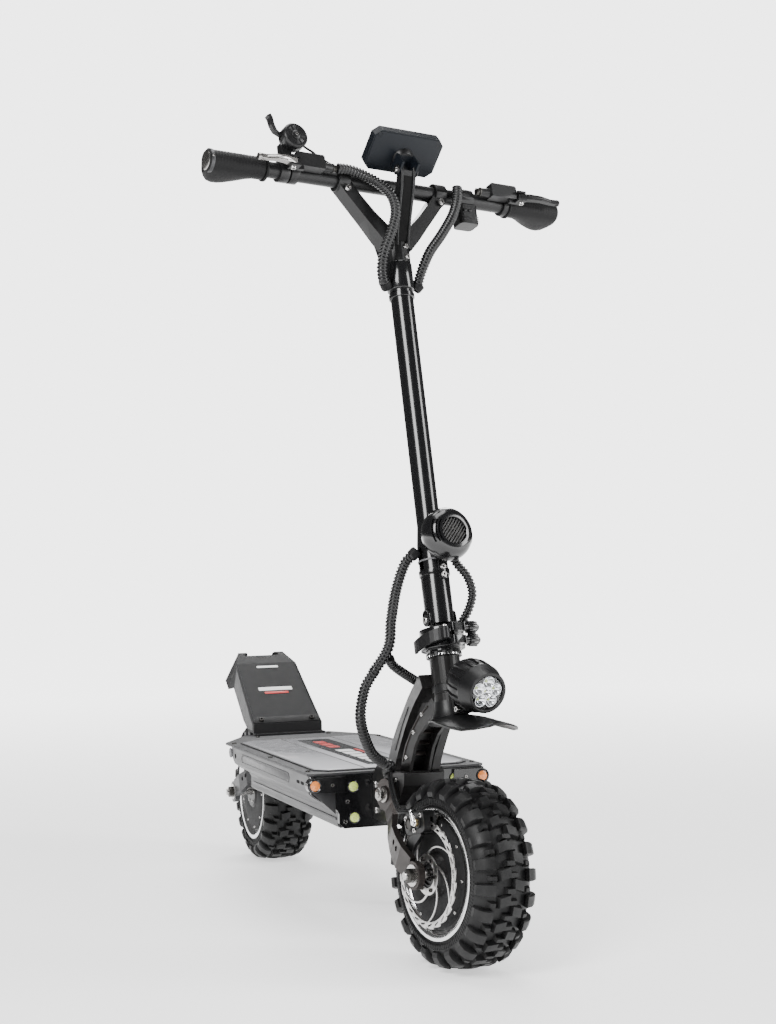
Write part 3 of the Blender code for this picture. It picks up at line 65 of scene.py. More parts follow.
DISC_X = -0.0565
WELD = 1e-6  # corners closer than this are one

T = Matrix.Translation


def spun(degrees, axis):
    return Matrix.Rotation(radians(degrees), 4, axis)


# ---- frames, from the record's joints
joints = {j["name"]: j for j in frame["record"]["behaviour"]["joints"]}


def joint_place(name):
    return Vector(joints[name]["pos_m"])


def joint_axis(name):
    return Vector(joints[name]["axis"]).normalized()


MAST = joint_axis("steering_turn")
HEAD = joint_place("steering_turn")
CROSS = joint_axis("front_wheel_spin")
BACK = MAST.cross(CROSS)
STEER = T(HEAD) @ Matrix((CROSS, BACK, MAST)).transposed().to_4x4()
RAKE = atan2(MAST.y, MAST.z)
LEVEL = (T(HEAD) @ Matrix.Rotation(-RAKE, 4, "X")).inverted()
TURN = STEER.to_3x3().to_4x4() @ Matrix.Rotation(RAKE, 4, "X")
FRONT_WHEEL = T(joint_place("front_wheel_spin")) @ TURN
REAR_WHEEL = T(joint_place("rear_wheel_spin"))
WORLD = Matrix.Identity(4)
SIDES = ((-1, "right"), (1, "left"))  # the rider's right is -X
# The pieces on these bodies, and those on no body, are given in the steering frame, and all others in the world.
HOME = dict.fromkeys((None, "stem", "steering", "headlight", "cam_lever", "upper_knob", "lower_knob", "right_lever",
    "left_lever"), STEER)


# ---- materials
def fill(node, **values):
    """Sets a node's sockets. An underscore in a name stands for a space."""
    for name, value in values.items():
        node.inputs[name.replace("_", " ")].default_value = value


def new_material(name):
    mat = bpy.data.materials.new(name)
    mat.use_nodes = True
    return mat, mat.node_tree, mat.node_tree.nodes["Principled BSDF"]


def ramp(tree, source, stops):
    node = tree.nodes.new("ShaderNodeValToRGB")
    elements = node.color_ramp.elements
    while len(elements) < len(stops):
        elements.new(0.5)
    for e, (at, value) in zip(elements, stops):
        e.position = at
        e.color = (value, value, value, 1.0) if isinstance(value, float) else (*value, 1.0)
    tree.links.new(source, node.inputs["Fac"])
    return node.outputs["Color"]


def noise(tree, scale, detail=3.0, rough=0.55, stretch=None):
    coords = tree.nodes.new("ShaderNodeTexCoord").outputs["Object"]
    if stretch:
        mapping = tree.nodes.new("ShaderNodeMapping")
        fill(mapping, Scale=stretch)
        tree.links.new(coords, mapping.inputs["Vector"])
        coords = mapping.outputs["Vector"]
    node = tree.nodes.new("ShaderNodeTexNoise")
    fill(node, Scale=scale, Detail=detail, Roughness=rough)
    tree.links.new(coords, node.inputs["Vector"])
    return node.outputs["Fac"]


def blend_colour(tree, factor, a, b):
    node = tree.nodes.new("ShaderNodeMix")
    node.data_type = "RGBA"
    tree.links.new(factor, node.inputs["Factor"])
    for socket, value in ((node.inputs[6], a), (node.inputs[7], b)):
        if isinstance(value, tuple):
            socket.default_value = (*value, 1.0)
        else:
            tree.links.new(value, socket)
    return node.outputs[2]


def finish(name, colour, rough, metal=0.0, mottle=0.12, mottle_scale=30.0, grain=0.08, grain_scale=900.0, wear=0.0,
        wear_colour=(0.45, 0.43, 0.42), coat=0.0, coat_rough=0.06, stretch=None, rough_spread=0.1, specular=0.5):
    """A painted, cast, moulded or rubber finish: mottled colour, uneven gloss, fine bump and worn edges."""
    mat, tree, bsdf = new_material(name)
    links = tree.links
    broad = noise(tree, mottle_scale, 4.0)
    dark = tuple(c * (1.0 - mottle) for c in colour)
    light = tuple(min(1.0, c * (1.0 + mottle) + 0.004 * mottle) for c in colour)
    shade = blend_colour(tree, ramp(tree, broad, [(0.3, 0.0), (0.7, 1.0)]), dark, light)
    if wear > 0.0:
        edge = tree.nodes.new("ShaderNodeNewGeometry").outputs["Pointiness"]
        edge = ramp(tree, edge, [(0.515, 0.0), (0.56, 1.0)])
        patchy = ramp(tree, noise(tree, 60.0, 5.0), [(0.42, 0.0), (0.62, 1.0)])
        both = tree.nodes.new("ShaderNodeMath")
        both.operation = "MULTIPLY"
        links.new(edge, both.inputs[0])
        links.new(patchy, both.inputs[1])
        scaled = tree.nodes.new("ShaderNodeMath")
        scaled.operation = "MULTIPLY"
        scaled.inputs[1].default_value = wear
        links.new(both.outputs[0], scaled.inputs[0])
        shade = blend_colour(tree, scaled.outputs[0], shade, wear_colour)
    links.new(shade, bsdf.inputs["Base Color"])
    gloss = ramp(tree, noise(tree, mottle_scale * 2.3, 5.0, 0.6, stretch), [(0.3, max(0.02, rough - rough_spread)),
        (0.7, min(1.0, rough + rough_spread))])
    links.new(gloss, bsdf.inputs["Roughness"])
    bump = tree.nodes.new("ShaderNodeBump")
    fill(bump, Strength=grain, Distance=0.0004)
    links.new(noise(tree, grain_scale, 2.0, 0.6, stretch), bump.inputs["Height"])
    links.new(bump.outputs["Normal"], bsdf.inputs["Normal"])
    fill(bsdf, Metallic=metal, Coat_Weight=coat, Coat_Roughness=coat_rough, Specular_IOR_Level=specular)
    return mat


def glass(name, colour, rough=0.03):
    mat, _, bsdf = new_material(name)
    fill(bsdf, Base_Color=(*colour, 1.0), Roughness=rough, Transmission_Weight=1.0, IOR=1.45)
    return mat


FINISHES = {
    "gloss_black": ((0.0045, 0.0045, 0.005), dict(rough=0.2, mottle=0.05, grain=0.006, coat=0.35, rough_spread=0.03,
        specular=0.45)),
    "satin_black": ((0.005, 0.005, 0.0054), dict(rough=0.38, mottle=0.06, grain=0.1, rough_spread=0.04,
        specular=0.32)),
    "cast_bronze": ((0.034, 0.029, 0.027), dict(rough=0.34, metal=0.65, grain=0.14, grain_scale=1300.0, mottle=0.1,
        rough_spread=0.05, specular=0.35)),
    "cast_black": ((0.0075, 0.0071, 0.0071), dict(rough=0.36, metal=0.15, grain=0.14, grain_scale=1200.0, mottle=0.08,
        rough_spread=0.05, specular=0.32)),
    "arm_grey": ((0.05, 0.05, 0.052), dict(rough=0.36, metal=0.6, grain=0.15, mottle=0.06, rough_spread=0.05,
        specular=0.4)),
    "deck_grey": ((0.06, 0.06, 0.062), dict(rough=0.4, metal=0.45, grain=0.18, grain_scale=1500.0, mottle=0.06,
        stretch=(1.0, 0.15, 1.0), rough_spread=0.05)),
    "plate_grey": ((0.045, 0.045, 0.047), dict(rough=0.52, metal=0.3, grain=0.9, grain_scale=900.0, mottle=0.1,
        rough_spread=0.06)),
    "textured_dark": ((0.0105, 0.0105, 0.011), dict(rough=0.62, metal=0.0, grain=0.9, grain_scale=700.0, mottle=0.05,
        rough_spread=0.03, specular=0.22)),
    "steel": ((0.52, 0.51, 0.5), dict(rough=0.26, metal=1.0, grain=0.015, mottle=0.04, stretch=(1.0, 8.0, 8.0),
        rough_spread=0.03)),
    "alloy": ((0.33, 0.32, 0.31), dict(rough=0.28, metal=1.0, grain=0.015, mottle=0.05, rough_spread=0.03)),
    "polished": ((0.8, 0.8, 0.8), dict(rough=0.2, metal=1.0, grain=0.008, mottle=0.03, rough_spread=0.02)),
    "disc_steel": ((0.56, 0.55, 0.54), dict(rough=0.3, metal=1.0, grain=0.015, grain_scale=600.0, mottle=0.04,
        rough_spread=0.03)),
    "dark_steel": ((0.055, 0.053, 0.05), dict(rough=0.3, metal=1.0, grain=0.06, mottle=0.06)),
    "brass": ((0.5, 0.4, 0.22), dict(rough=0.3, metal=1.0, grain=0.06, mottle=0.06)),
    "tyre": ((0.0045, 0.0045, 0.0048), dict(rough=0.5, metal=0.0, mottle=0.12, grain=0.35, grain_scale=500.0,
        wear=0.3, wear_colour=(0.022, 0.022, 0.022), specular=0.32, rough_spread=0.08)),
    "rubber": ((0.005, 0.005, 0.0053), dict(rough=0.52, mottle=0.08, grain=0.4, grain_scale=1500.0, specular=0.15,
        rough_spread=0.05)),
    "cable_wrap": ((0.004, 0.004, 0.0044), dict(rough=0.3, mottle=0.05, grain=0.05, coat=0.1, coat_rough=0.2,
        specular=0.35, rough_spread=0.04)),
    "plastic": ((0.005, 0.005, 0.0054), dict(rough=0.34, mottle=0.05, grain=0.18, grain_scale=1800.0, specular=0.35,
        rough_spread=0.04)),
    "plastic_grey": ((0.11, 0.11, 0.115), dict(rough=0.42, mottle=0.05, grain=0.2, rough_spread=0.05)),
    "slate": ((0.004, 0.0054, 0.0078), dict(rough=0.38, mottle=0.05, grain=0.22, grain_scale=1500.0, specular=0.18,
        rough_spread=0.04)),
    "sheet_white": ((0.72, 0.72, 0.75), dict(rough=0.14, mottle=0.03, grain=0.02, coat=0.4, rough_spread=0.05)),
    "sheet_dark": ((0.04, 0.04, 0.043), dict(rough=0.24, mottle=0.05, grain=0.04, coat=0.3, rough_spread=0.05)),
    "mark_white": ((0.78, 0.78, 0.78), dict(rough=0.4, mottle=0.03)),
    "mark_red": ((0.5, 0.02, 0.016), dict(rough=0.4, mottle=0.05)),
    "amber": ((0.8, 0.25, 0.06), dict(rough=0.22, coat=0.5, mottle=0.25, mottle_scale=500.0)),
    "led": ((0.55, 0.66, 0.16), dict(rough=0.2, coat=0.6, mottle=0.4, mottle_scale=600.0)),
    "red_lens": ((0.36, 0.008, 0.008), dict(rough=0.16, coat=0.6, mottle=0.15, mottle_scale=300.0)),
    "wrap_blue": ((0.01, 0.016, 0.035), dict(rough=0.32, coat=0.3, mottle=0.05)),
    "reflector": ((0.9, 0.91, 0.92), dict(rough=0.05, metal=1.0, grain=0.02, mottle=0.02, rough_spread=0.03)),
    # painted shade: a dull black laid where only shade falls, in screw sockets, clamp splits, recesses, slots, ports
    # and channels
    "painted_shade_black": ((0.0025, 0.0025, 0.0025), dict(rough=0.7, grain=0.05, specular=0.1)),
    "screen": ((0.006, 0.007, 0.009), dict(rough=0.08, grain=0.01, coat=1.0, coat_rough=0.03, mottle=0.03,
        rough_spread=0.02)),
}
PAINT = {name: finish(name, colour, **look) for name, (colour, look) in FINISHES.items()}
PAINT["lens"] = glass("lens", (0.97, 0.98, 1.0))


# ---- mesh helpers
def linked(name, data):
    ob = bpy.data.objects.new(name, data)
    bpy.context.collection.objects.link(ob)
    return ob


def evaluated(ob):
    """An object's mesh after its modifiers, or a curve's mesh."""
    bpy.context.view_layer.update()
    return bpy.data.meshes.new_from_object(ob.evaluated_get(bpy.context.evaluated_depsgraph_get()))


def recalc(bm):
    bmesh.ops.recalc_face_normals(bm, faces=bm.faces[:])
    return bm


def box(x0, x1, y0, y1, z0, z1):
    bm = bmesh.new()
    bmesh.ops.create_cube(bm, size=1.0)
    size = Matrix.Diagonal((x1 - x0, y1 - y0, z1 - z0, 1.0))
    centre = T(((x0 + x1) / 2, (y0 + y1) / 2, (z0 + z1) / 2))
    bmesh.ops.transform(bm, matrix=centre @ size, verts=bm.verts[:])
    return bm


def prism(points, axis, a0, a1):
    """A flat outline pushed along an axis. axis X takes (y, z), axis Y takes (x, z), axis Z takes (x, y)."""
    bm = bmesh.new()
    place = {"X": lambda p, a: (a, p[0], p[1]), "Y": lambda p, a: (p[0], a, p[1]), "Z": lambda p, a: (p[0], p[1], a)}
    low = [bm.verts.new(place[axis](p, a0)) for p in points]
    high = [bm.verts.new(place[axis](p, a1)) for p in points]
    bm.faces.new(low)
    bm.faces.new(high[::-1])
    for i in range(len(points)):
        j = (i + 1) % len(points)
        bm.faces.new((low[i], high[i], high[j], low[j]))
    return recalc(bm)


def skin(bm, rings):
    """Faces between each ring of corners and the next."""
    for a, b in zip(rings, rings[1:]):
        for k in range(len(a)):
            j = (k + 1) % len(a)
            bm.faces.new((a[k], a[j], b[j], b[k]))


def around(count, radius, phase=0.0):
    """Points round a circle. radius is a number, or a function of the point's number."""
    points = []
    for k in range(count):
        a = tau * (k + phase) / count
        r = radius(k) if callable(radius) else radius
        points.append((r * cos(a), r * sin(a)))
    return points


def turned(profile, seg, origin=(0, 0, 0), axis="Z"):
    """A closed profile of (radius, height) turned about an axis."""
    bm = bmesh.new()
    rings = []
    for k in range(seg):
        t = tau * k / seg
        ring = []
        for r, h in profile:
            u = r * cos(t)
            v = r * sin(t)
            p = {"X": (h, u, v), "Y": (v, h, u), "Z": (u, v, h)}[axis]
            ring.append(bm.verts.new(Vector(p) + Vector(origin)))
        rings.append(ring)
    skin(bm, rings + rings[:1])
    bmesh.ops.remove_doubles(bm, verts=bm.verts[:], dist=WELD)
    return recalc(bm)


def on_bar(profile, seg):
    """A profile of (radius, x) turned about the handlebar."""
    return turned(profile, seg, (0, 0, BAR_S), "X")


def rod(p0, p1, r0, seg=24, r1=None):
    p0 = Vector(p0)
    p1 = Vector(p1)
    d = p1 - p0
    bm = bmesh.new()
    bmesh.ops.create_cone(bm, cap_ends=True, segments=seg, radius1=r0, radius2=r0 if r1 is None else r1,
        depth=d.length)
    turn = d.to_track_quat("Z", "Y").to_matrix().to_4x4()
    bmesh.ops.transform(bm, matrix=T((p0 + p1) / 2) @ turn, verts=bm.verts[:])
    return bm


def facing(at, along):
    """A frame at a point, with Z along a direction."""
    return T(Vector(at)) @ Vector(along).to_track_quat("Z", "Y").to_matrix().to_4x4()


def moved(bm, matrix):
    bmesh.ops.transform(bm, matrix=matrix, verts=bm.verts[:])
    if matrix.to_3x3().determinant() < 0:
        bmesh.ops.reverse_faces(bm, faces=bm.faces[:])
    return bm


def joined(*parts):
    """Puts several meshes in one, without cutting them."""
    out = bmesh.new()
    for part in parts:
        me = bpy.data.meshes.new("part")
        part.to_mesh(me)
        part.free()
        out.from_mesh(me)
        bpy.data.meshes.remove(me)
    return out


def softened(bm, width, segments=2, angle=35.0):
    """Rounds a mesh's sharp edges."""
    limit = radians(angle)
    sharp = [e for e in bm.edges if e.is_manifold and e.calc_face_angle(0.0) > limit]
    bmesh.ops.bevel(bm, geom=sharp, offset=width, offset_type="OFFSET", segments=segments, profile=0.6,
        affect="EDGES", clamp_overlap=True)
    return bm


def combine(base, others, operation="UNION"):
    target = linked("t", bpy.data.meshes.new("t"))
    base.to_mesh(target.data)
    base.free()
    for other in others:
        tool = linked("u", bpy.data.meshes.new("u"))
        other.to_mesh(tool.data)
        other.free()
        mod = target.modifiers.new("b", "BOOLEAN")
        mod.operation = operation
        mod.solver = "EXACT"
        mod.object = tool
        mesh = evaluated(target)
        target.modifiers.clear()
        target.data = mesh
        bpy.data.objects.remove(tool, do_unlink=True)
    out = bmesh.new()
    out.from_mesh(target.data)
    bpy.data.objects.remove(target, do_unlink=True)
    return out


def piece(name, bm, paint, body, place=WORLD, angle=38.0):
    """One visual piece riding on a CAD body."""
    moved(bm, HOME.get(body, WORLD) @ place)
    me = bpy.data.meshes.new(name)
    bm.to_mesh(me)
    bm.free()
    me.materials.append(PAINT[paint])
    me.shade_smooth()
    me.set_sharp_from_angle(angle=radians(angle))
    ob = linked(name, me)
    if body:
        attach(ob, body)
    return ob


def flat_cutout(loops, thick, round_over=0.0002):
    """A flat plate in XY from closed outlines, the inner ones being holes, as a mesh."""
    cu = bpy.data.curves.new("outline", "CURVE")
    cu.dimensions = "2D"
    cu.fill_mode = "BOTH"
    cu.extrude = thick / 2 - round_over
    cu.bevel_depth = round_over
    cu.bevel_resolution = 1
    cu.offset = -round_over
    for loop in loops:
        sp = cu.splines.new("POLY")
        sp.points.add(len(loop) - 1)
        for p, (x, y) in zip(sp.points, loop):
            p.co = (x, y, 0.0, 1.0)
        sp.use_cyclic_u = True
    ob = linked("outline", cu)
    me = evaluated(ob)
    bpy.data.objects.remove(ob, do_unlink=True)
    bm = bmesh.new()
    bm.from_mesh(me)
    bmesh.ops.remove_doubles(bm, verts=bm.verts[:], dist=WELD)
    return bm


def smooth_route(points, spacing):
    """Evenly spaced points on a smooth curve through the route's points."""
    pts = [Vector(p) for p in points]
    ext = [pts[0] * 2 - pts[1]] + pts + [pts[-1] * 2 - pts[-2]]
    fine = []
    for i in range(1, len(ext) - 2):
        p0, p1, p2, p3 = ext[i - 1:i + 3]
        for k in range(24):
            t = k / 24.0
            fine.append(0.5 * (2 * p1 + (p2 - p0) * t + (2 * p0 - 5 * p1 + 4 * p2 - p3) * t * t
                + (3 * p1 - p0 - 3 * p2 + p3) * t * t * t))
    fine.append(pts[-1])
    lengths = [0.0]
    for a, b in zip(fine, fine[1:]):
        lengths.append(lengths[-1] + (b - a).length)
    count = max(2, round(lengths[-1] / spacing))
    out = []
    j = 0
    for k in range(count + 1):
        want = lengths[-1] * k / count
        while j < len(fine) - 2 and lengths[j + 1] < want:
            j += 1
        span = lengths[j + 1] - lengths[j]
        t = 0.0 if span == 0 else (want - lengths[j]) / span
        out.append(fine[j].lerp(fine[j + 1], min(max(t, 0.0), 1.0)))
    return out


def swept(points, radius, spacing, seg=14, ridge=0.0, pitch=0.0062):
    """A tube along a route; with ridge it is wrapped in a spiral band."""
    route = smooth_route(points, spacing)
    bm = bmesh.new()
    rings = []
    normal = None
    travelled = 0.0
    for i, p in enumerate(route):
        a = route[max(i - 1, 0)]
        b = route[min(i + 1, len(route) - 1)]
        along = (b - a).normalized()
        if normal is None:
            normal = along.orthogonal().normalized()
        normal = (normal - along * normal.dot(along)).normalized()
        side = along.cross(normal)
        if i:
            travelled += (p - route[i - 1]).length
        ring = []
        for k in range(seg):
            t = tau * k / seg
            r = radius
            if ridge:
                phase = tau * travelled / pitch + t
                wave = cos(phase)
                r = radius - ridge + ridge * (0.5 + 0.5 * tanh(3.0 * (wave + 0.25)))
            ring.append(bm.verts.new(p + (normal * cos(t) + side * sin(t)) * r))
        rings.append(ring)
    skin(bm, rings)
    bm.faces.new(rings[0][::-1])
    bm.faces.new(rings[-1])
    return recalc(bm)


def wrapped(points, radius):
    """A cable with its spiral wrap, whose band stands 1.9 mm out and comes round every 5.3 mm."""
    return swept(points, radius, 0.0009, 16, 0.0019, 0.0053)


def arc(r, a0, a1, n, cx=0.0, cy=0.0):
    """Points on an arc, in degrees."""
    out = []
    for k in range(n + 1):
        a = radians(a0 + (a1 - a0) * k / n)
        out.append((cx + r * cos(a), cy + r * sin(a)))
    return out


def rounded(x0, x1, y0, y1, r, n=5):
    pts = []
    for cx, cy, a0 in ((x1 - r, y1 - r, 0), (x0 + r, y1 - r, 90), (x0 + r, y0 + r, 180), (x1 - r, y0 + r, 270)):
        pts += arc(r, a0, a0 + 90, n, cx, cy)
    return pts


def socket_screw(name, at, out, r, body, place=WORLD, paint="steel", height=None):
    """A round-headed screw with a hexagonal socket. out is the way its head faces."""
    h = height or r * 0.7
    head = turned([(0.0, -h * 0.4), (r, -h * 0.4), (r, h * 0.55), (r * 0.86, h), (r * 0.52, h), (r * 0.5, h * 0.35),
        (0.0, h * 0.35)], 24)
    piece(name, head, paint, body, place @ facing(at, out))
    # Painted shade: a dull black hexagon at the bottom of the head's hollow stands for the shade inside the socket.
    hexagon = rod((0, 0, h * 0.3), (0, 0, h * 0.42), r * 0.46, 6)
    piece(name + "_socket", hexagon, "painted_shade_black", body, place @ facing(at, out))


def screws(name, spots, out, r, body, place=WORLD, paint="steel", height=None):
    for k, at in enumerate(spots):
        socket_screw("%s_%d" % (name, k), at, out, r, body, place, paint, height)


def hex_nut(name, at, out, r, body, place=WORLD, paint="steel", height=0.006, stud=True):
    """A flanged nut with its bolt's end showing."""
    parts = [softened(rod((0, 0, 0), (0, 0, height), r, 6), r * 0.06, 2),
        turned([(0.0, -0.0006), (r * 1.22, -0.0006), (r * 1.22, 0.0006), (r * 1.1, 0.0012), (0.0, 0.0012)], 28)]
    if stud:
        parts.append(turned([(0.0, 0.0), (r * 0.52, 0.0), (r * 0.52, height + 0.0016), (r * 0.42, height + 0.0024),
            (0.0, height + 0.0024)], 20))
    piece(name, joined(*parts), paint, body, place @ facing(at, out))


def dress(node, paint, bevel=0.0008, segments=2):
    """Gives a CAD node its finish, and softens its sharp edges."""
    ob = frame["nodes"][node]
    ob.data.materials.clear()
    ob.data.materials.append(PAINT[paint])
    if bevel:
        weld = ob.modifiers.new("weld", "WELD")
        weld.merge_threshold = 0.00002
        mod = ob.modifiers.new("soft_edges", "BEVEL")
        mod.width = bevel
        mod.segments = segments
        mod.limit_method = "ANGLE"
        mod.angle_limit = radians(34)
        mod.harden_normals = True
        mod.use_clamp_overlap = True


# ---- CAD nodes that stay, with their finishes
FINISHED_NODES = (("deck_tray", "deck_grey", 0.001), ("deck_plate", "plate_grey", 0.0007),
    ("battery_pack", "wrap_blue", 0.0015), ("motor_controller", "dark_steel", 0.001),
    ("front_plate", "gloss_black", 0.0009), ("neck_frame", "cast_black", 0.0016, 3),
    ("footrest", "textured_dark", 0.0007), ("tail_light", "red_lens", 0.0006),
    ("rear_suspension_block", "satin_black", 0.0012), ("kickstand", "dark_steel", 0.0008),
    ("rear_swing_arm", "arm_grey", 0.0014, 3), ("rear_caliper", "satin_black", 0.0008),
    ("rear_hub_motor", "cast_black", 0.0008), ("fork", "cast_black", 0.0014, 3),
    ("lamp_bracket", "satin_black", 0.0006), ("lock_ring", "satin_black", 0.0003),
    ("stem_knuckle", "gloss_black", 0.0008), ("clamp_upper", "gloss_black", 0.0008),
    ("clamp_lower", "gloss_black", 0.0008), ("clamp_lever", "satin_black", 0.001),
    ("front_swing_arm", "cast_bronze", 0.0016, 3), ("front_caliper", "satin_black", 0.0008),
    ("front_hub_motor", "cast_black", 0.0008), ("yoke", "satin_black", 0.0012, 3),
    ("brake_perch_right", "satin_black", 0.0008), ("brake_perch_left", "satin_black", 0.0008),
    ("throttle_body", "plastic", 0.0008), ("display_housing", "slate", 0.0008), ("display_screen", "screen", 0.0004),
    ("display_button", "plastic", 0.0005), ("switch_pod", "plastic", 0.001), ("fold_pin", "gloss_black", 0.0008),
    ("brake_lever_right", "alloy", 0.001, 3), ("brake_lever_left", "satin_black", 0.001, 3),
    ("throttle_trigger", "plastic", 0.0008), ("horn_button", "red_lens", 0.0005),
    ("fold_hook", "satin_black", 0.0006))
for row in FINISHED_NODES:
    dress(*row)


# ---- wheels
def knob_block(x0, x1, a0, a1, height, lean=0):
    """A tread block on the carcass, between two widths and two angles."""
    bm = bmesh.new()
    nx, na = 3, 3
    inset = 0.0011
    layers = []
    for grow, up in ((0.0012, -0.0012), (0, height * 0.5), (-inset, height)):
        grid = []
        for i in range(nx + 1):
            row = []
            x = (x0 - grow) + (x1 - x0 + 2 * grow) * i / nx
            for k in range(na + 1):
                span = (a1 - a0) + 2 * grow / TYRE_R
                a = (a0 - grow / TYRE_R) + span * k / na + lean * (x - (x0 + x1) / 2)
                r = carcass_radius(x) + up
                row.append(bm.verts.new((x, r * sin(a), r * cos(a))))
            grid.append(row)
        layers.append(grid)

    def quad(a, b, c, d):
        bm.faces.new((a, b, c, d))

    for i in range(nx):
        for k in range(na):
            t = layers[-1]
            b = layers[0]
            quad(t[i][k], t[i + 1][k], t[i + 1][k + 1], t[i][k + 1])
            quad(b[i][k], b[i][k + 1], b[i + 1][k + 1], b[i + 1][k])
    for low, high in zip(layers, layers[1:]):
        for i in range(nx):
            quad(low[i][0], low[i + 1][0], high[i + 1][0], high[i][0])
            quad(low[i + 1][na], low[i][na], high[i][na], high[i + 1][na])
        for k in range(na):
            quad(low[0][k + 1], low[0][k], high[0][k], high[0][k + 1])
            quad(low[nx][k], low[nx][k + 1], high[nx][k + 1], high[nx][k])
    return recalc(bm)


def shoulder_block(side, a0, a1):
    """A square lug that stands out over the tyre's shoulder and down its side."""
    bm = bmesh.new()
    outline = [(0.0275, 0.1255), (0.0275, 0.1338), (0.037, 0.1312), (0.0452, 0.124), (0.049, 0.1162),
        (0.0482, 0.1095), (0.044, 0.1095), (0.04, 0.118)]
    rings = []
    for a, grow in ((a0 - 0.006, 0), (a0 + 0.004, 1.0), ((a0 + a1) / 2, 1.0), (a1 - 0.004, 1.0), (a1 + 0.006, 0)):
        ring = []
        for x, r in outline:
            inner_x = 0.0275 + (x - 0.0275) * (0.88 + 0.12 * grow)
            rr = r - (1.0 - grow) * 0.0016
            ring.append(bm.verts.new((side * inner_x, rr * sin(a), rr * cos(a))))
        rings.append(ring)
    skin(bm, rings)
    bm.faces.new(rings[0])
    bm.faces.new(rings[-1][::-1])
    return recalc(bm)


def carcass_radius(x):
    x = abs(x)
    if x < 0.028:
        return 0.1275 - 4.4 * x * x
    return 0.124 - 18.0 * (x - 0.028) ** 2 - 0.28 * (x - 0.028)


def knobbly_tyre(label, body, place):
    """Carcass with staggered centre blocks, square shoulder lugs and bead rings."""
    rows = [(0, 0.1275), (0.015, 0.1266), (0.028, 0.124), (0.036, 0.1196), (0.0425, 0.113), (0.0462, 0.106),
        (0.0466, 0.1005), (0.0448, 0.0972), (0.0456, 0.096), (0.044, 0.0943), (0.04, RIM_R + 0.0004)]
    profile = [(r, x) for x, r in rows] + [(r, -x) for x, r in rows[:0:-1]]
    parts = [turned(profile, 120, axis="X")]
    pitches = 22
    step = tau / pitches
    for k in range(pitches):
        a = k * step
        half = a + step / 2
        parts.append(knob_block(-0.02, -0.002, a - 0.07, a + 0.05, 0.008, 2.0))
        parts.append(knob_block(0.002, 0.02, half - 0.05, half + 0.07, 0.008, -2.0))
        parts.append(knob_block(-0.0095, 0.0055, a + 0.066, a + 0.128, 0.0076))
        parts.append(knob_block(-0.0055, 0.0095, half + 0.085, half + 0.146, 0.0076))
        parts.append(shoulder_block(-1, a + 0.045, a + 0.045 + 0.125))
        parts.append(shoulder_block(1, half + 0.045, half + 0.045 + 0.125))
        parts.append(knob_block(-0.033, -0.0232, a + 0.205, a + 0.262, 0.0066))
        parts.append(knob_block(0.0232, 0.033, half + 0.205, half + 0.262, 0.0066))
    for k in range(pitches * 6):
        a = tau * k / (pitches * 6)
        for s in (1, -1):
            rib = box(s * 0.0464 - 0.0006, s * 0.0464 + 0.0006, -0.0007, 0.0007, 0.0985, 0.106)
            parts.append(moved(rib, Matrix.Rotation(a, 4, "X")))
    ob = piece(label + "_tread", joined(*parts), "tyre", body, place, 30.0)
    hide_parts(label + "_tyre")


def wheel_details(label, body, place):
    """Polished rim lips, motor covers with their screws, a valve, and the brake disc."""
    for s in (1, -1):
        lip = turned([(0.0795, s * 0.0368), (0.0832, s * 0.0412), (0.0846, s * 0.0438), (0.0856, s * 0.0446),
            (0.0925, s * 0.0464), (0.094, s * 0.0458), (0.0946, s * 0.043), (0.0925, s * 0.0412), (0.085, s * 0.04)],
            96, axis="X")
        piece("%s_rim_lip_%s" % (label, "left" if s > 0 else "right"), lip, "polished", body, place)
        cover = turned([(0.03, s * 0.043), (0.035, s * 0.0438), (0.044, s * 0.0446), (0.06, s * 0.0442),
            (0.072, s * 0.0428), (0.0768, s * 0.0416), (0.0768, s * 0.04), (0.03, s * 0.04)], 72, axis="X")
        piece("%s_motor_cover_%s" % (label, "left" if s > 0 else "right"), cover, "textured_dark", body, place)
        for k, (y, z) in enumerate(around(9, 0.0715, 0.5)):
            at = (s * 0.043, y, z)
            socket_screw("%s_cover_screw_%s_%d" % (label, "l" if s > 0 else "r", k), at, (s, 0, 0), 0.0022, body,
                place)
        if s > 0:
            screws(label + "_hub_screw", [(0.0462, y, z) for y, z in around(6, 0.0225)], (1, 0, 0), 0.0024, body, place)
    valve = turned([(0, 0), (0.003, 0), (0.003, 0.01), (0.0024, 0.011), (0.0024, 0.016), (0.003, 0.0165),
        (0.003, 0.0205), (0, 0.0215)], 16)
    piece(label + "_valve", valve, "dark_steel", body, place @ facing((-0.0405, 0, 0.085), (-0.55, 0, -0.83)))
    disc_piece(label, body, place)


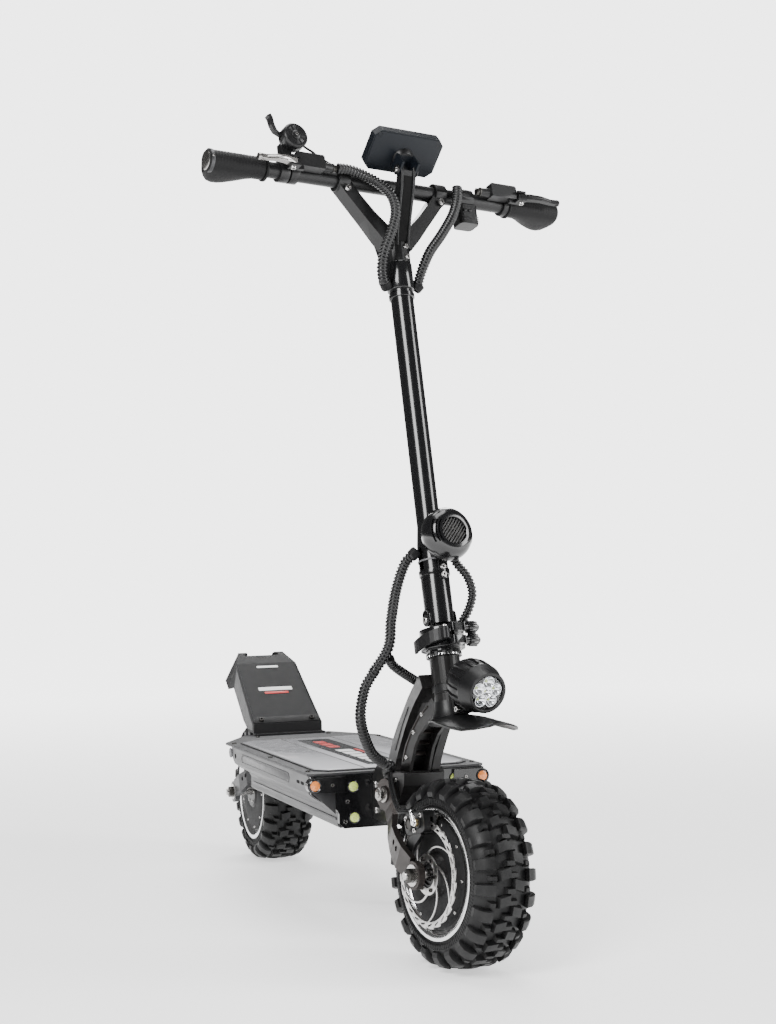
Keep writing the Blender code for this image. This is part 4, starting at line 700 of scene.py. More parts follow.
def disc_piece(label, body, place):
    """Wavy rotor: slanted slots in its rim, and six thin curved arms in to a carrier."""
    waves = 24
    n = waves * 10
    outer = []
    for k in range(n):
        a = tau * k / n
        saw = (a * waves / (2 * pi)) % 1.0
        r = 0.0765 - 0.0036 * saw ** 1.6
        outer.append((r * cos(a), r * sin(a)))
    loops = [outer]
    for k in range(waves):
        a = tau * (k + 0.08) / waves
        slot = []
        for u in (0, 0.25, 0.5, 0.75, 1.0):
            t = a + 0.15 * u
            r = 0.0688 + 0.0032 * u
            slot.append(((r + 0.0012) * cos(t), (r + 0.0012) * sin(t)))
        for u in (1.0, 0.75, 0.5, 0.25, 0):
            t = a + 0.15 * u
            r = 0.0688 + 0.0032 * u
            slot.append(((r - 0.0011) * cos(t + 0.012), (r - 0.0011) * sin(t + 0.012)))
        loops.append(slot)
    arms = 6
    low, high = 0.0292, 0.0662
    for k in range(arms):
        base = tau * k / arms
        sides = []
        for edge, sign in ((base, 1), (base + tau / arms, -1)):
            side = []
            for u in range(13):
                r = low + (high - low) * u / 12
                side.append((r, edge + sign * 0.00215 / r + 0.95 * (r - low) / (high - low)))
            sides.append(side)
        t0, t1 = sides[0][-1][1], sides[1][-1][1]
        window = sides[0] + [(high, t0 + (t1 - t0) * u / 9.0) for u in range(1, 9)] + sides[1][::-1]
        t0, t1 = sides[1][0][1], sides[0][0][1]
        window += [(low, t0 + (t1 - t0) * u / 5.0) for u in range(1, 5)]
        loops.append([(r * cos(t), r * sin(t)) for r, t in window])
    loops.append(arc(0.0186, 0, 354, 59))
    holes = around(6, 0.0235, 0.5)
    for x, y in holes:
        loops.append(arc(0.0021, 0, 330, 11, x, y))
    disc = flat_cutout(loops, 0.002, 0.00015)
    turn = T((DISC_X, 0, 0)) @ spun(90, "Y")
    ob = piece(label + "_rotor", moved(disc, turn), "disc_steel", body, place)
    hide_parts(label + "_brake_disc")
    carrier = turned([(0.015, -0.0558), (0.0282, -0.0558), (0.03, -0.0545), (0.032, -0.047), (0.015, -0.047)], 48,
        axis="X")
    piece(label + "_disc_carrier", carrier, "cast_black", body, place)
    screws(label + "_rotor_screw", [(DISC_X - 0.0012, -y, x) for x, y in holes], (-1, 0, 0), 0.0031, body, place,
        "dark_steel")


REAR_FLIP = REAR_WHEEL @ Matrix.Diagonal((-1.0, 1.0, 1.0, 1.0))
for label, body, place in (("front", "front_wheel", FRONT_WHEEL), ("rear", "rear_wheel", REAR_FLIP)):
    knobbly_tyre(label, body, place)
    wheel_details(label, body, place)

# ---- swing arms, axles and calipers
FRONT_ARM = T(joint_place("front_suspension")) @ TURN
REAR_ARM = T(joint_place("rear_suspension"))
for label, body, arm, wheel in (("front", "front_arm", FRONT_ARM, FRONT_WHEEL),
        ("rear", "rear_arm", REAR_ARM, REAR_WHEEL)):
    for s, side in ((1, "left"), (-1, "right")):
        flange = turned([(0, 0), (0.0122, 0), (0.0128, 0.0008), (0.0128, 0.0018), (0.0118, 0.0026), (0, 0.0026)], 40)
        piece("%s_pivot_washer_%s" % (label, side), flange, "cast_bronze", body,
            arm @ facing((s * 0.0448, 0, 0), (s, 0, 0)))
        hex_nut("%s_pivot_nut_%s" % (label, side), (s * 0.047, 0, 0), (s, 0, 0), 0.0098, body, arm, "alloy", 0.0092)
        teeth = around(48, lambda k: 0.0158 if k % 2 else 0.0151)
        washer = prism(teeth, "Z", 0, 0.0013)
        piece("%s_axle_washer_%s" % (label, side), washer, "steel", body, wheel @ facing((s * 0.0819, 0, 0), (s, 0, 0)))
        nut = softened(rod((0, 0, 0), (0, 0, 0.0084), 0.0104, 6), 0.0008, 2)
        piece("%s_axle_nut_%s" % (label, side), nut, "dark_steel", body, wheel @ facing((s * 0.0832, 0, 0), (s, 0, 0)))
    shaft = turned([(0, -0.0955), (0.0052, -0.0955), (0.0058, -0.0948), (0.0058, -0.0825), (0.008, -0.0822),
        (0.008, 0.0822), (0.0058, 0.0825), (0.0058, 0.0948), (0.0052, 0.0955), (0, 0.0955)], 32, axis="X")
    ob = piece(label + "_axle_shaft", shaft, "steel", body, wheel)
    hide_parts(label + "_axle")

for label, body, wheel, turn in (("front", "front_arm", FRONT_WHEEL, -14.0), ("rear", "rear_arm", REAR_FLIP, 14.0)):
    spot = wheel @ spun(turn, "X")
    screws(label + "_caliper_screw", [(-0.07, -0.019, 0.082), (-0.07, 0.02, 0.082), (-0.07, 0, 0.063)], (-1, 0, 0),
        0.0036, body, spot)
    cap = turned([(0, 0), (0.0088, 0), (0.0088, 0.0008), (0.007, 0.0016), (0.0068, 0.0006), (0, 0.0006)], 32)
    piece(label + "_caliper_cap", cap, "dark_steel", body, spot @ facing((-0.0735, 0.01, 0.073), (-1, 0, 0)))
    banjo = turned([(0, 0), (0.0058, 0), (0.0058, 0.0042), (0, 0.0042)], 28)
    piece(label + "_banjo", softened(banjo, 0.0006), "brass", body, spot @ facing((-0.0735, -0.012, 0.073),
        (-1, 0, 0)))
    hex_nut(label + "_banjo_bolt", (-0.0776, -0.012, 0.073), (-1, 0, 0), 0.0046, body, spot, "polished", 0.0032, False)

foot_pad = softened(box(-0.015, 0.015, -0.015, 0.015, 0.0002, 0.007), 0.0022, 3)
stand_foot = Vector((0.13, -0.09, 0))
piece("kickstand_foot_pad", foot_pad, "rubber", "kickstand_leg", T(stand_foot))
socket_screw("kickstand_bolt", Vector((0.125, -0.02, 0.178)), (1, 0, 0), 0.0062, "kickstand_leg")

# ---- fork, head and clamps
cheek_spots = [(0.0183, -0.429, 0.357), (0.0183, -0.407, 0.329), (0.0183, -0.388, 0.29)]
pivot_spots = [(0.0343, -0.386, 0.256), (0.0343, -0.36, 0.25)]
for k, (s, (x, y, z)) in enumerate((s, spot) for group in (cheek_spots, pivot_spots) for s in (-1, 1)
        for spot in group):
    socket_screw("fork_screw_%d" % k, (s * x, y, z), (s, 0, 0), 0.0034, "steering", LEVEL)
for s, side in SIDES:
    trace = [(-0.444, 0.37), (-0.42, 0.3515), (-0.401, 0.33), (-0.386, 0.306), (-0.3775, 0.283)]
    rib = swept([(s * 0.0184, y, z) for y, z in trace], 0.0016, 0.004, 8)
    piece("fork_rib_%s" % side, rib, "cast_bronze", "steering", LEVEL)
    pad = prism([(-0.398, 0.229), (-0.39, 0.256), (-0.379, 0.26), (-0.38, 0.23)], "X", 0, 0.0014)
    piece("hood_pad_%s" % side, softened(pad, 0.0005), "rubber", "steering",
        LEVEL @ T((0.0345 if s > 0 else -0.0345 - 0.0014, 0, 0)))
for k, z in enumerate((0.33, 0.313, 0.296)):
    bar = softened(box(-0.0134, 0.0134, -0.003, 0.003, -0.0012, 0.0012), 0.0006)
    back = {0: -0.4045, 1: -0.3935, 2: -0.3865}[k]
    piece("fork_web_%d" % k, bar, "cast_bronze", "steering", LEVEL @ T((0, back - 0.005, z)) @ spun(50 + 8 * k, "X"))

for name, s0, s1 in (("clamp_upper", 0.004, 0.016), ("clamp_lower", -0.015, -0.003)):
    ring = softened(turned([(0.0255, s0), (0.0332, s0), (0.0332, s1), (0.0255, s1)], 72), 0.0012, 3, 60)
    piece(name + "_band", ring, "gloss_black", "steering")
    for x in (-0.0106, 0.01):
        cheek = softened(box(x - 0.0006, x + 0.0012, -0.0486, -0.032, s0 - 0.0002, s1 + 0.0002), 0.0004)
        piece("%s_cheek_%d" % (name, int(x * 1e4)), cheek, "gloss_black", "steering")
    mid = (s0 + s1) / 2
    knurl = around(96, lambda k: 0.009 + 0.0007 * tanh(3.0 * cos(8 * (tau * k / 96))))
    nut = softened(prism(knurl, "Z", 0, 0.0138), 0.0006, 2, 50)
    end = turned([(0, 0.013), (0.006, 0.013), (0.0054, 0.0165), (0.0042, 0.0188), (0, 0.0192)], 32)
    collar = turned([(0, -0.0062), (0.0063, -0.0062), (0.0063, 0.0005), (0, 0.0005)], 32)
    body = "upper_knob" if name == "clamp_upper" else "lower_knob"
    ob = piece(name + "_thumb_nut", joined(nut, end, collar), "gloss_black", body,
        facing((0.019, -0.041, mid), (1, 0, 0)))
    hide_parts("clamp_knob_" + ("upper" if name == "clamp_upper" else "lower"))
socket_screw("clamp_pin_head", (-0.0205, -0.042, 0.0106), (0, 0, 1), 0.0042, "cam_lever")
serrated = around(144, lambda k: 0.0268 if k % 4 in (0, 1) else 0.0256)
teeth = softened(prism(serrated, "Z", -0.0262, -0.023), 0.0003, 1, 60)
bore = rod((0, 0, -0.04), (0, 0, -0.01), 0.023, 48)
piece("lock_ring_teeth", combine(teeth, [bore], "DIFFERENCE"), "polished", "steering")
skirt = turned([(0, -0.124), (0.0345, -0.124), (0.031, -0.1205), (0.0268, -0.114), (0.0246, -0.104), (0.0238, -0.093),
    (0, -0.093)], 64)
moved(skirt, Matrix.Diagonal((1.0, 0.92, 1.0, 1.0)))
piece("crown_skirt", skirt, "satin_black", "steering")
headset = turned([(0.0226, -0.08), (0.024, -0.079), (0.024, -0.069), (0.0226, -0.068)], 64)
piece("head_tube_band", headset, "satin_black", "chassis", STEER)
for side in (-1, 1):
    plate = softened(prism([(-0.33, 0.299), (-0.35, 0.325), (-0.383, 0.356), (-0.4, 0.368), (-0.396, 0.362),
        (-0.37, 0.336), (-0.35, 0.312), (-0.337, 0.296)], "X", 0, 0.001), 0.0004)
    piece("neck_rib_%s" % ("left" if side > 0 else "right"), plate, "satin_black", "chassis",
        T((0.0374 if side > 0 else -0.0384, 0, 0)))
for k, (x, z) in enumerate(((-0.034, 0.236), (0.034, 0.236), (-0.034, 0.196), (0.034, 0.196))):
    socket_screw("neck_root_screw_%d" % k, (x * 1.29, -0.26, z), (1 if x > 0 else -1, 0, 0), 0.005, "chassis")


# ---- fender and headlight
def lofted(rows, thick, across=28):
    """A thin shell: rows of (b, half width, s, drop), smoothed along its length."""
    pts = smooth_route([(r[0], r[1], r[2]) for r in rows], 0.004)
    drops = []
    for p in pts:
        for a, b in zip(rows, rows[1:]):
            if b[0] <= p.x <= a[0] or b is rows[-1]:
                t = min(max((p.x - a[0]) / (b[0] - a[0]), 0), 1.0)
                drops.append(a[3] + (b[3] - a[3]) * t)
                break
        else:
            drops.append(rows[0][3])
    bm = bmesh.new()
    top = []
    low = []
    for p, drop in zip(pts, drops):
        tr = []
        lr = []
        for k in range(across + 1):
            u = -1 + 2 * k / across
            ridge = 0.0004 * exp(-(u / 0.12) ** 2)
            z = p.z - drop * abs(u) ** 2.2 + ridge
            tr.append(bm.verts.new((u * p.y, p.x, z)))
            lr.append(bm.verts.new((u * p.y * 0.99, p.x, z - thick)))
        top.append(tr)
        low.append(lr)
    n = len(pts)
    for i in range(n - 1):
        for k in range(across):
            bm.faces.new((top[i][k], top[i][k + 1], top[i + 1][k + 1], top[i + 1][k]))
            bm.faces.new((low[i][k], low[i + 1][k], low[i + 1][k + 1], low[i][k + 1]))
        bm.faces.new((top[i][0], top[i + 1][0], low[i + 1][0], low[i][0]))
        bm.faces.new((top[i][across], low[i][across], low[i + 1][across], top[i + 1][across]))
    for k in range(across):
        bm.faces.new((top[0][k], low[0][k], low[0][k + 1], top[0][k + 1]))
        bm.faces.new((top[-1][k], top[-1][k + 1], low[-1][k + 1], low[-1][k]))
    return recalc(bm)


fender_rows = [(0.018, 0.03, -0.1122, 0.006), (-0.005, 0.038, -0.1124, 0.009), (-0.03, 0.044, -0.117, 0.013),
    (-0.06, 0.047, -0.1246, 0.016), (-0.09, 0.045, -0.1352, 0.015), (-0.115, 0.036, -0.144, 0.009),
    (-0.13, 0.02, -0.149, 0.003)]
beak = piece("front_fender_shell", softened(lofted(fender_rows, 0.0032), 0.0007, 2, 50), "satin_black", "steering")
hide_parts("front_fender")

LENS_C = LEVEL @ Vector((0, -0.5717, 0.3987))
LAMP_BACK = LEVEL @ Vector((0, -0.4993, 0.4181))
LAMP = T(LENS_C) @ (LENS_C - LAMP_BACK).to_track_quat("Z", "Y").to_matrix().to_4x4()


def headlight_shell():
    """Housing with lengthwise fins over its rear and a smooth wide bezel."""
    n = 144
    stations = [(-0.0682, 0, 0), (-0.0682, 0.0226, 0), (-0.066, 0.0262, 0), (-0.062, 0.0296, 0.6),
        (-0.052, 0.0346, 1), (-0.038, 0.0372, 1), (-0.026, 0.0366, 1), (-0.0205, 0.0358, 0.9), (-0.019, 0.0362, 0),
        (-0.016, 0.0362, 0), (-0.004, 0.0318, 0), (0.0035, 0.0306, 0), (0.0052, 0.0298, 0), (0.0056, 0.0282, 0),
        (0.005, 0.0258, 0), (0.003, 0.0247, 0), (-0.005, 0.0238, 0), (-0.005, 0, 0)]
    bm = bmesh.new()
    rings = []
    for z, r, fin in stations:
        ring = []
        for k in range(n):
            a = tau * k / n
            wave = (k % 8) in (0, 1, 2)
            rr = r - (0.0026 * fin if wave else 0)
            ring.append(bm.verts.new((rr * cos(a), rr * sin(a), z)))
        rings.append(ring)
    skin(bm, rings)
    bmesh.ops.remove_doubles(bm, verts=bm.verts[:], dist=WELD)
    lug = softened(box(-0.007, 0.007, -0.045, -0.0354, -0.1115, -0.0935), 0.0008)
    eye = rod((-0.007, -0.04, -0.1115), (0.007, -0.04, -0.1115), 0.0048, 32)
    return joined(recalc(bm), moved(joined(lug, eye), LAMP.inverted()))


ob = piece("headlight_shell", headlight_shell(), "satin_black", "headlight", LAMP, 30.0)
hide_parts("headlight_body")
plate = turned([(0, -0.0048), (0.0236, -0.0048), (0.0236, -0.0042), (0, -0.0042)], 48)
piece("headlight_board", plate, "plastic", "headlight", LAMP)
cups = [(0, 0, 0.0078)] + [(x, y, 0.0084) for x, y in arc(0.0148, 90, 378, 4)]
for k, (x, y, r) in enumerate(cups):
    cup = turned([(0.0018, 0), (0.003, 0.0002), (r * 0.72, 0.003), (r, 0.0064), (r + 0.0006, 0.0064),
        (r * 0.8, 0.0022), (0.003, -0.0004), (0.0018, -0.0004)], 36)
    piece("headlight_cup_%d" % k, cup, "reflector", "headlight", LAMP @ T((x, y, -0.004)))
    chip = turned([(0, 0), (0.0019, 0), (0.0019, 0.0006), (0.0011, 0.0016), (0, 0.0019)], 20)
    piece("headlight_led_%d" % k, chip, "led", "headlight", LAMP @ T((x, y, -0.004)))
cover = turned([(0, 0.0032), (0.015, 0.003), (0.0238, 0.002), (0.0238, 0.0032), (0.015, 0.0048), (0, 0.0054)], 64)
ob = piece("headlight_cover", cover, "lens", "headlight", LAMP)
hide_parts("headlight_lens")
for s, side in SIDES:
    socket_screw("lamp_bolt_%s" % side, (s * 0.0138, -0.04, -0.1115), (s, 0, 0), 0.0044, "steering")

# ---- mast
STEM_R_LOW = 0.0215
STEM_R_HIGH = 0.0178
mast = turned([(STEM_R_LOW - 0.003, 0.0235), (STEM_R_LOW, 0.0235), (STEM_R_LOW, 0.144), (STEM_R_LOW - 0.0003, 0.147),
    (STEM_R_HIGH + 0.0004, 0.172), (STEM_R_HIGH, 0.1755), (STEM_R_HIGH, 0.5455), (0.0196, 0.5458), (0.0201, 0.5463),
    (0.0201, 0.5526), (0.0196, 0.5531), (STEM_R_HIGH, 0.5534), (STEM_R_HIGH, 0.6118), (STEM_R_HIGH - 0.003, 0.6118),
    (STEM_R_HIGH - 0.003, 0.175), (STEM_R_LOW - 0.003, 0.144)], 72)
away = prism([(0.0105, 0.08), (0.0105, 0.03), (0, 0.018), (0, 0), (0.04, 0), (0.04, 0.09), (0.02, 0.09)], "X", -0.04,
    0.04)
slot = prism(rounded(-0.005, 0.005, 0.101, 0.142, 0.0048, 6), "X", -0.04, 0)
mast = combine(mast, [away, slot], "DIFFERENCE")
ob = piece("mast_tube", mast, "gloss_black", "stem")
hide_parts("stem_tube")
for s, side in SIDES:
    rim = flat_cutout([rounded(-0.0086, 0.0086, -0.0128, 0.0128, 0.0085, 12),
        rounded(-0.0066, 0.0066, -0.0108, 0.0108, 0.0065, 12)], 0.004, 0.0008)
    piece("fold_boss_" + side, rim, "gloss_black", "stem", facing((s * 0.0226, 0, 0.033), (s, 0, 0)))
    # Painted shade: the floor of the recess round the fold bolt is a dull black sheet, for the shade inside it.
    floor_bm = flat_cutout([rounded(-0.0068, 0.0068, -0.011, 0.011, 0.0066, 12)], 0.002, 0.0003)
    piece("fold_recess_" + side, floor_bm, "painted_shade_black", "stem", facing((s * 0.0222, 0, 0.033), (s, 0, 0)))
    socket_screw("fold_bolt_" + side, (s * 0.0254, 0, 0.03), (s, 0, 0), 0.005, "stem", height=0.0016)

# ---- yoke, bar, grips
bar_tube = on_bar([(0.0105, -0.315), (BAR_R, -0.315), (BAR_R, 0.315), (0.0105, 0.315)], 64)
ob = piece("bar_tube", bar_tube, "satin_black", "stem")
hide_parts("handlebar")
for s, side in SIDES:
    x0, x1 = sorted((s * 0.0785, s * 0.0985))
    ring = softened(on_bar([(0.0129, x0), (0.0181, x0), (0.0181, x1), (0.0129, x1)], 64), 0.001, 3, 50)
    piece("yoke_ring_" + side, ring, "satin_black", "stem")
    # Painted shade: a dull black strip on the ring stands for the shade in its split.
    split = softened(box(x0 + 0.0012, x1 - 0.0012, -0.0192, -0.0174, BAR_S - 0.0012, BAR_S + 0.0012), 0.0003)
    piece("yoke_split_" + side, split, "painted_shade_black", "stem")
    for k, x in enumerate((x0 + 0.005, x1 - 0.005)):
        socket_screw("yoke_screw_%s_%d" % (side, k), (x, 0.0168, BAR_S - 0.0085), (0, 0.8, -0.6), 0.003, "stem")
for s in (1, -1):
    socket_screw("yoke_arm_bolt_%s" % ("left" if s > 0 else "right"), (s * 0.085, -0.0166, BAR_S - 0.019),
        (s * 0.15, -1, 0.1), 0.005, "stem")
screws("socket_bolt", [(0.005, -0.0203, 0.628), (0.0062, -0.0196, 0.611)], (0.3, -1, 0), 0.0042, "stem")
sleeve = turned([(0.018, 0.5592), (0.0206, 0.5592), (0.0212, 0.5602), (0.0214, 0.602), (0.0206, 0.604),
    (0.018, 0.604)], 72)
piece("socket_sleeve", sleeve, "gloss_black", "stem")
for s, side in SIDES:
    rail = [(s * 0.0098, -0.0205, 0.629), (s * 0.01, -0.0262, 0.648), (s * 0.0102, -0.035, 0.669),
        (s * 0.0104, -0.045, 0.691), (s * 0.0106, -0.0548, 0.713), (s * 0.0108, -0.061, 0.733),
        (s * 0.0108, -0.062, 0.744)]
    piece("post_rail_" + side, swept(rail, 0.0023, 0.003, 12), "satin_black", "stem")
    eye = turned([(0.0034, 0), (0.0078, 0), (0.0082, 0.001), (0.0078, 0.0022), (0.0034, 0.0022)], 36)
    piece("post_eye_" + side, eye, "satin_black", "stem", facing((s * 0.016, -0.0555, 0.7405), (s, 0, 0)))
    socket_screw("post_clevis_" + side, (s * 0.0174, -0.0555, 0.7405), (s, 0, 0), 0.0044, "stem")
# Painted shade: a dull black block fills the channel between the two rails, for the shade there.
channel = [(-0.0215, 0.636), (-0.0278, 0.652), (-0.036, 0.671), (-0.0455, 0.692), (-0.0545, 0.713), (-0.06, 0.73),
    (-0.0585, 0.731), (-0.0525, 0.713), (-0.043, 0.692), (-0.0335, 0.671), (-0.025, 0.652), (-0.0195, 0.636)]
piece("post_channel", prism(channel, "X", -0.0084, 0.0084), "painted_shade_black", "stem")


def grip_shape(s):
    """Rubber sleeve whose section swells into a palm wing, with shallow ribs under the fingers."""
    wing = Vector((0, 0.86, -0.51))
    up = Vector((0, 0.51, 0.86))
    stations = [(0.224, 0.0164, 0), (0.2248, 0.0172, 0), (0.229, 0.0173, 0), (0.24, 0.0172, 0.0005),
        (0.25, 0.0172, 0.004), (0.26, 0.0172, 0.009), (0.27, 0.0172, 0.013), (0.28, 0.0172, 0.0165),
        (0.29, 0.0172, 0.0188), (0.3, 0.0172, 0.019), (0.308, 0.0172, 0.0165), (0.314, 0.0171, 0.011),
        (0.3175, 0.0166, 0.006), (0.3186, 0.015, 0.0035)]
    dense = []
    for a, b in zip(stations, stations[1:]):
        n = max(1, round((b[0] - a[0]) / 0.001))
        for k in range(n):
            t = k / n
            dense.append(tuple(a[i] + (b[i] - a[i]) * t for i in range(3)))
    dense.append(stations[-1])
    seg = 48
    bm = bmesh.new()
    rings = []
    for x, r, reach in dense:
        rib = 0.00045 * max(0, cos(tau * (x - 0.232) / 0.0052)) if 0.232 < x < 0.305 else 0
        ring = []
        for k in range(seg):
            a = tau * k / seg
            c = cos(a)
            u = r * c
            v = r * sin(a)
            if c > 0:
                u += reach * c ** 2
                v *= 1.0 - 0.35 * (reach / 0.019) * c ** 2
            under = max(0, -c)
            p = Vector((0, 0, BAR_S)) + wing * (u - rib * under) + up * v
            ring.append(bm.verts.new((s * x, p.y, p.z)))
        rings.append(ring)
    inner = []
    for ring_x in (stations[0][0], stations[-1][0]):
        ring = []
        for k in range(seg):
            a = tau * k / seg
            p = Vector((0, 0, BAR_S)) + wing * (0.0129 * cos(a)) + up * (0.0129 * sin(a))
            ring.append(bm.verts.new((s * ring_x, p.y, p.z)))
        inner.append(ring)
    skin(bm, rings + [inner[1], inner[0], rings[0]])
    return recalc(bm)


for s, side in SIDES:
    ob = piece("grip_sleeve_" + side, grip_shape(s), "rubber", "stem", angle=50.0)
    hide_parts("grip_" + side)
    flange = softened(on_bar([(0.0129, s * 0.2205), (0.0196, s * 0.2205), (0.0196, s * 0.224), (0.0129, s * 0.224)],
        56), 0.0008, 2, 50)
    piece("grip_flange_" + side, flange, "rubber", "stem")
    cap = on_bar([(0, s * 0.314), (0.0152, s * 0.314), (0.0152, s * 0.3187), (0.014, s * 0.3196), (0, s * 0.3198)],
        48)
    piece("bar_end_cap_" + side, cap, "alloy" if s < 0 else "plastic", "stem")
    if s < 0:
        band = softened(on_bar([(0.015, -0.3105), (0.0184, -0.3105), (0.0184, -0.316), (0.015, -0.316)], 56), 0.0006,
            2, 50)
        piece("grip_lock_ring", band, "arm_grey", "stem")
        socket_screw("grip_lock_screw", (-0.3132, -0.0182, BAR_S), (0, -1, 0), 0.0022, "stem")

# ---- brake perches, throttle and switches
for s, side, x_in in ((-1, "right", 0.114), (1, "left", 0.157)):
    x_clamp = x_in + 0.06
    lid_x = sorted((s * (x_in + 0.019), s * (x_clamp + 0.0055)))
    lid = softened(box(lid_x[0], lid_x[1], -0.0344, -0.0176, BAR_S + 0.0183, BAR_S + 0.0208), 0.0009, 3)
    piece("reservoir_lid_" + side, lid, "satin_black", "stem")
    for k in range(2):
        x = lid_x[0] + 0.0045 if k == 0 else lid_x[1] - 0.0045
        socket_screw("reservoir_screw_%s_%d" % (side, k), (x, -0.026, BAR_S + 0.0207), (0, 0, 1), 0.0022, "stem")
    ring_x = sorted((s * (x_clamp - 0.0067), s * (x_clamp + 0.0067)))
    ring = softened(on_bar([(0.0129, ring_x[0]), (0.0171, ring_x[0]), (0.0171, ring_x[1]), (0.0129, ring_x[1])], 56),
        0.0008, 2, 50)
    piece("perch_ring_" + side, ring, "satin_black", "stem")
    at = Vector((s * (x_in + 0.074), -0.033, 0))
    for way, z in ((1, BAR_S + 0.0094), (-1, BAR_S - 0.0074)):
        socket_screw("perch_pin_%s_%s" % (side, "top" if way > 0 else "low"), at + Vector((0, 0, z)), (0, 0, way),
            0.0044, "stem")
    joint = "right_lever" if s < 0 else "left_lever"
    px = x_in + 0.074
    reach = 0.058 if s < 0 else 0.068
    tip = [(s * (px + reach - 0.01), -0.0379, BAR_S - 0.001), (s * (px + reach), -0.038, BAR_S - 0.001)]
    ball = turned([(0, -0.006), (0.0034, -0.005), (0.0058, 0), (0.005, 0.0034), (0, 0.0052)], 24)
    piece("lever_tip_" + side, ball, "alloy" if s < 0 else "satin_black", joint,
        facing(tip[1], Vector(tip[1]) - Vector(tip[0])))
    groove = swept([(s * (px + reach * 0.14), -0.041, BAR_S + 0.001), (s * (px + reach * 0.34), -0.044, BAR_S),
        (s * (px + reach * 0.56), -0.0444, BAR_S), (s * (px + reach * 0.8), -0.0412, BAR_S - 0.001)], 0.0018, 0.004,
        8)
    piece("lever_spine_" + side, groove, "steel" if s < 0 else "satin_black", joint)
    hex_nut("hose_nut_" + side, (s * (x_in + 0.0005), -0.024, BAR_S + 0.006), (-s, 0.03, 0), 0.006, "stem",
        paint="dark_steel", height=0.007, stud=False)

THROTTLE = (-0.181, 0, BAR_S + 0.045)
drum_profile = [(0, -0.0402), (0.015, -0.0402), (0.016, -0.0396), (0.0186, -0.0396), (0.0206, -0.0374),
    (0.0209, -0.0364), (0.0209, -0.0318), (0.0155, -0.031), (0.0155, -0.025), (0.0209, -0.0242), (0.0209, -0.0205),
    (0.0196, -0.0178), (0.0185, -0.0172), (0, -0.0172)]
drum = turned(drum_profile, 72, THROTTLE, "Y")
notches = []
for k in range(10):
    a = radians(36 * k + 8)
    cut = box(-0.0016, 0.0016, -0.0404, -0.0385, 0.0145, 0.0188)
    notches.append(moved(cut, T(THROTTLE) @ Matrix.Rotation(a, 4, "Y")))
drum = combine(drum, notches, "DIFFERENCE")
piece("throttle_drum", drum, "plastic", "stem")
throttle_ring = softened(on_bar([(0.0129, -0.1987), (0.0171, -0.1987), (0.0171, -0.1833), (0.0129, -0.1833)], 56),
    0.0008, 2, 50)
piece("throttle_ring", throttle_ring, "plastic", "stem")
hub = turned([(0, 0), (0.0072, 0), (0.0072, 0.0012), (0.006, 0.002), (0, 0.002)], 40)
piece("throttle_hub", hub, "plastic", "stem", facing((-0.181, -0.04, BAR_S + 0.045), (0, -1, 0)))
socket_screw("throttle_screw", (-0.181, -0.0421, BAR_S + 0.045), (0, -1, 0), 0.0026, "stem")
wire = [(-0.164, -0.029, BAR_S + 0.033), (-0.156, -0.03, BAR_S + 0.028), (-0.147, -0.029, BAR_S + 0.024),
    (-0.14, -0.0255, BAR_S + 0.0205), (-0.13, -0.0225, BAR_S + 0.02), (-0.118, -0.0215, BAR_S + 0.015),
    (-0.108, -0.0235, BAR_S + 0.0105)]
piece("throttle_wire", swept(wire, 0.0019, 0.003, 10), "rubber", "stem")
pod_x = (0.125, 0.15)
for k, dx in enumerate((0.004, 0.013)):
    key = softened(box(-0.003, 0.003, -0.0024, 0.0024, 0, 0.0016), 0.0006)
    piece("pod_key_%d" % k, key, "satin_black", "stem",
        facing((pod_x[0] + dx + 0.002, -0.014, BAR_S - 0.024 - 0.0012), (0, -1, 0)))
for k in range(4):
    rib = softened(box(0.1235, 0.156, -0.0146, -0.0136, BAR_S - 0.046 + 0.0032 * k, BAR_S - 0.0448 + 0.0032 * k),
        0.0003)
    piece("pod_rib_%d" % k, rib, "plastic", "stem")

# ---- display
DISPLAY = T((0, -0.0554, 0.7698)) @ spun(-34.0, "X")
for k, (x, y) in enumerate(((-0.053, -0.0265), (0.053, -0.0265), (-0.053, 0.0265), (0.053, 0.0265))):
    well = turned([(0.003, 0), (0.004, 0), (0.004, 0.0008), (0.003, 0.0008)], 28)
    piece("display_well_%d" % k, well, "plastic", "stem", DISPLAY @ facing((x, y, 0), (0, 0, -1)))
    socket_screw("display_screw_%d" % k, (x, y, 0.0004), (0, 0, -1), 0.0022, "stem", DISPLAY, "steel", height=0.001)
for s in (-1, 1):
    for k in range(10):
        y = -0.0208 + 0.0046 * k
        rib = softened(box(-0.0011, 0.0011, -0.0013, 0.0013, 0.0022, 0.0132), 0.0005)
        piece("display_rib_%s_%d" % ("l" if s > 0 else "r", k), rib, "slate", "stem", DISPLAY @ T((s * 0.0618, y, 0)))
lip = [(-0.06, -0.024), (-0.052, -0.032), (0.052, -0.032), (0.06, -0.024), (0.06, 0.024), (0.052, 0.032),
    (-0.052, 0.032), (-0.06, 0.024)]
back = softened(prism(lip, "Z", -0.0008, 0.0006), 0.0005)
piece("display_back_panel", back, "slate", "stem", DISPLAY)
bezel = flat_cutout([rounded(-0.0595, 0.0595, -0.0315, 0.0315, 0.01, 8), rounded(-0.0458, 0.0458, -0.0253, 0.0208,
    0.0015, 4), rounded(-0.0066, 0.0066, 0.0243, 0.0307, 0.001, 4)], 0.001)
piece("display_bezel", bezel, "plastic", "stem", DISPLAY @ T((0, 0, 0.0153)))
boss = turned([(0, -0.008), (0.0128, -0.008), (0.015, -0.0062), (0.0172, -0.001), (0.0176, 0), (0, 0)], 48)
piece("display_boss", boss, "satin_black", "stem", DISPLAY @ T((0, 0.007, -0.0006)))
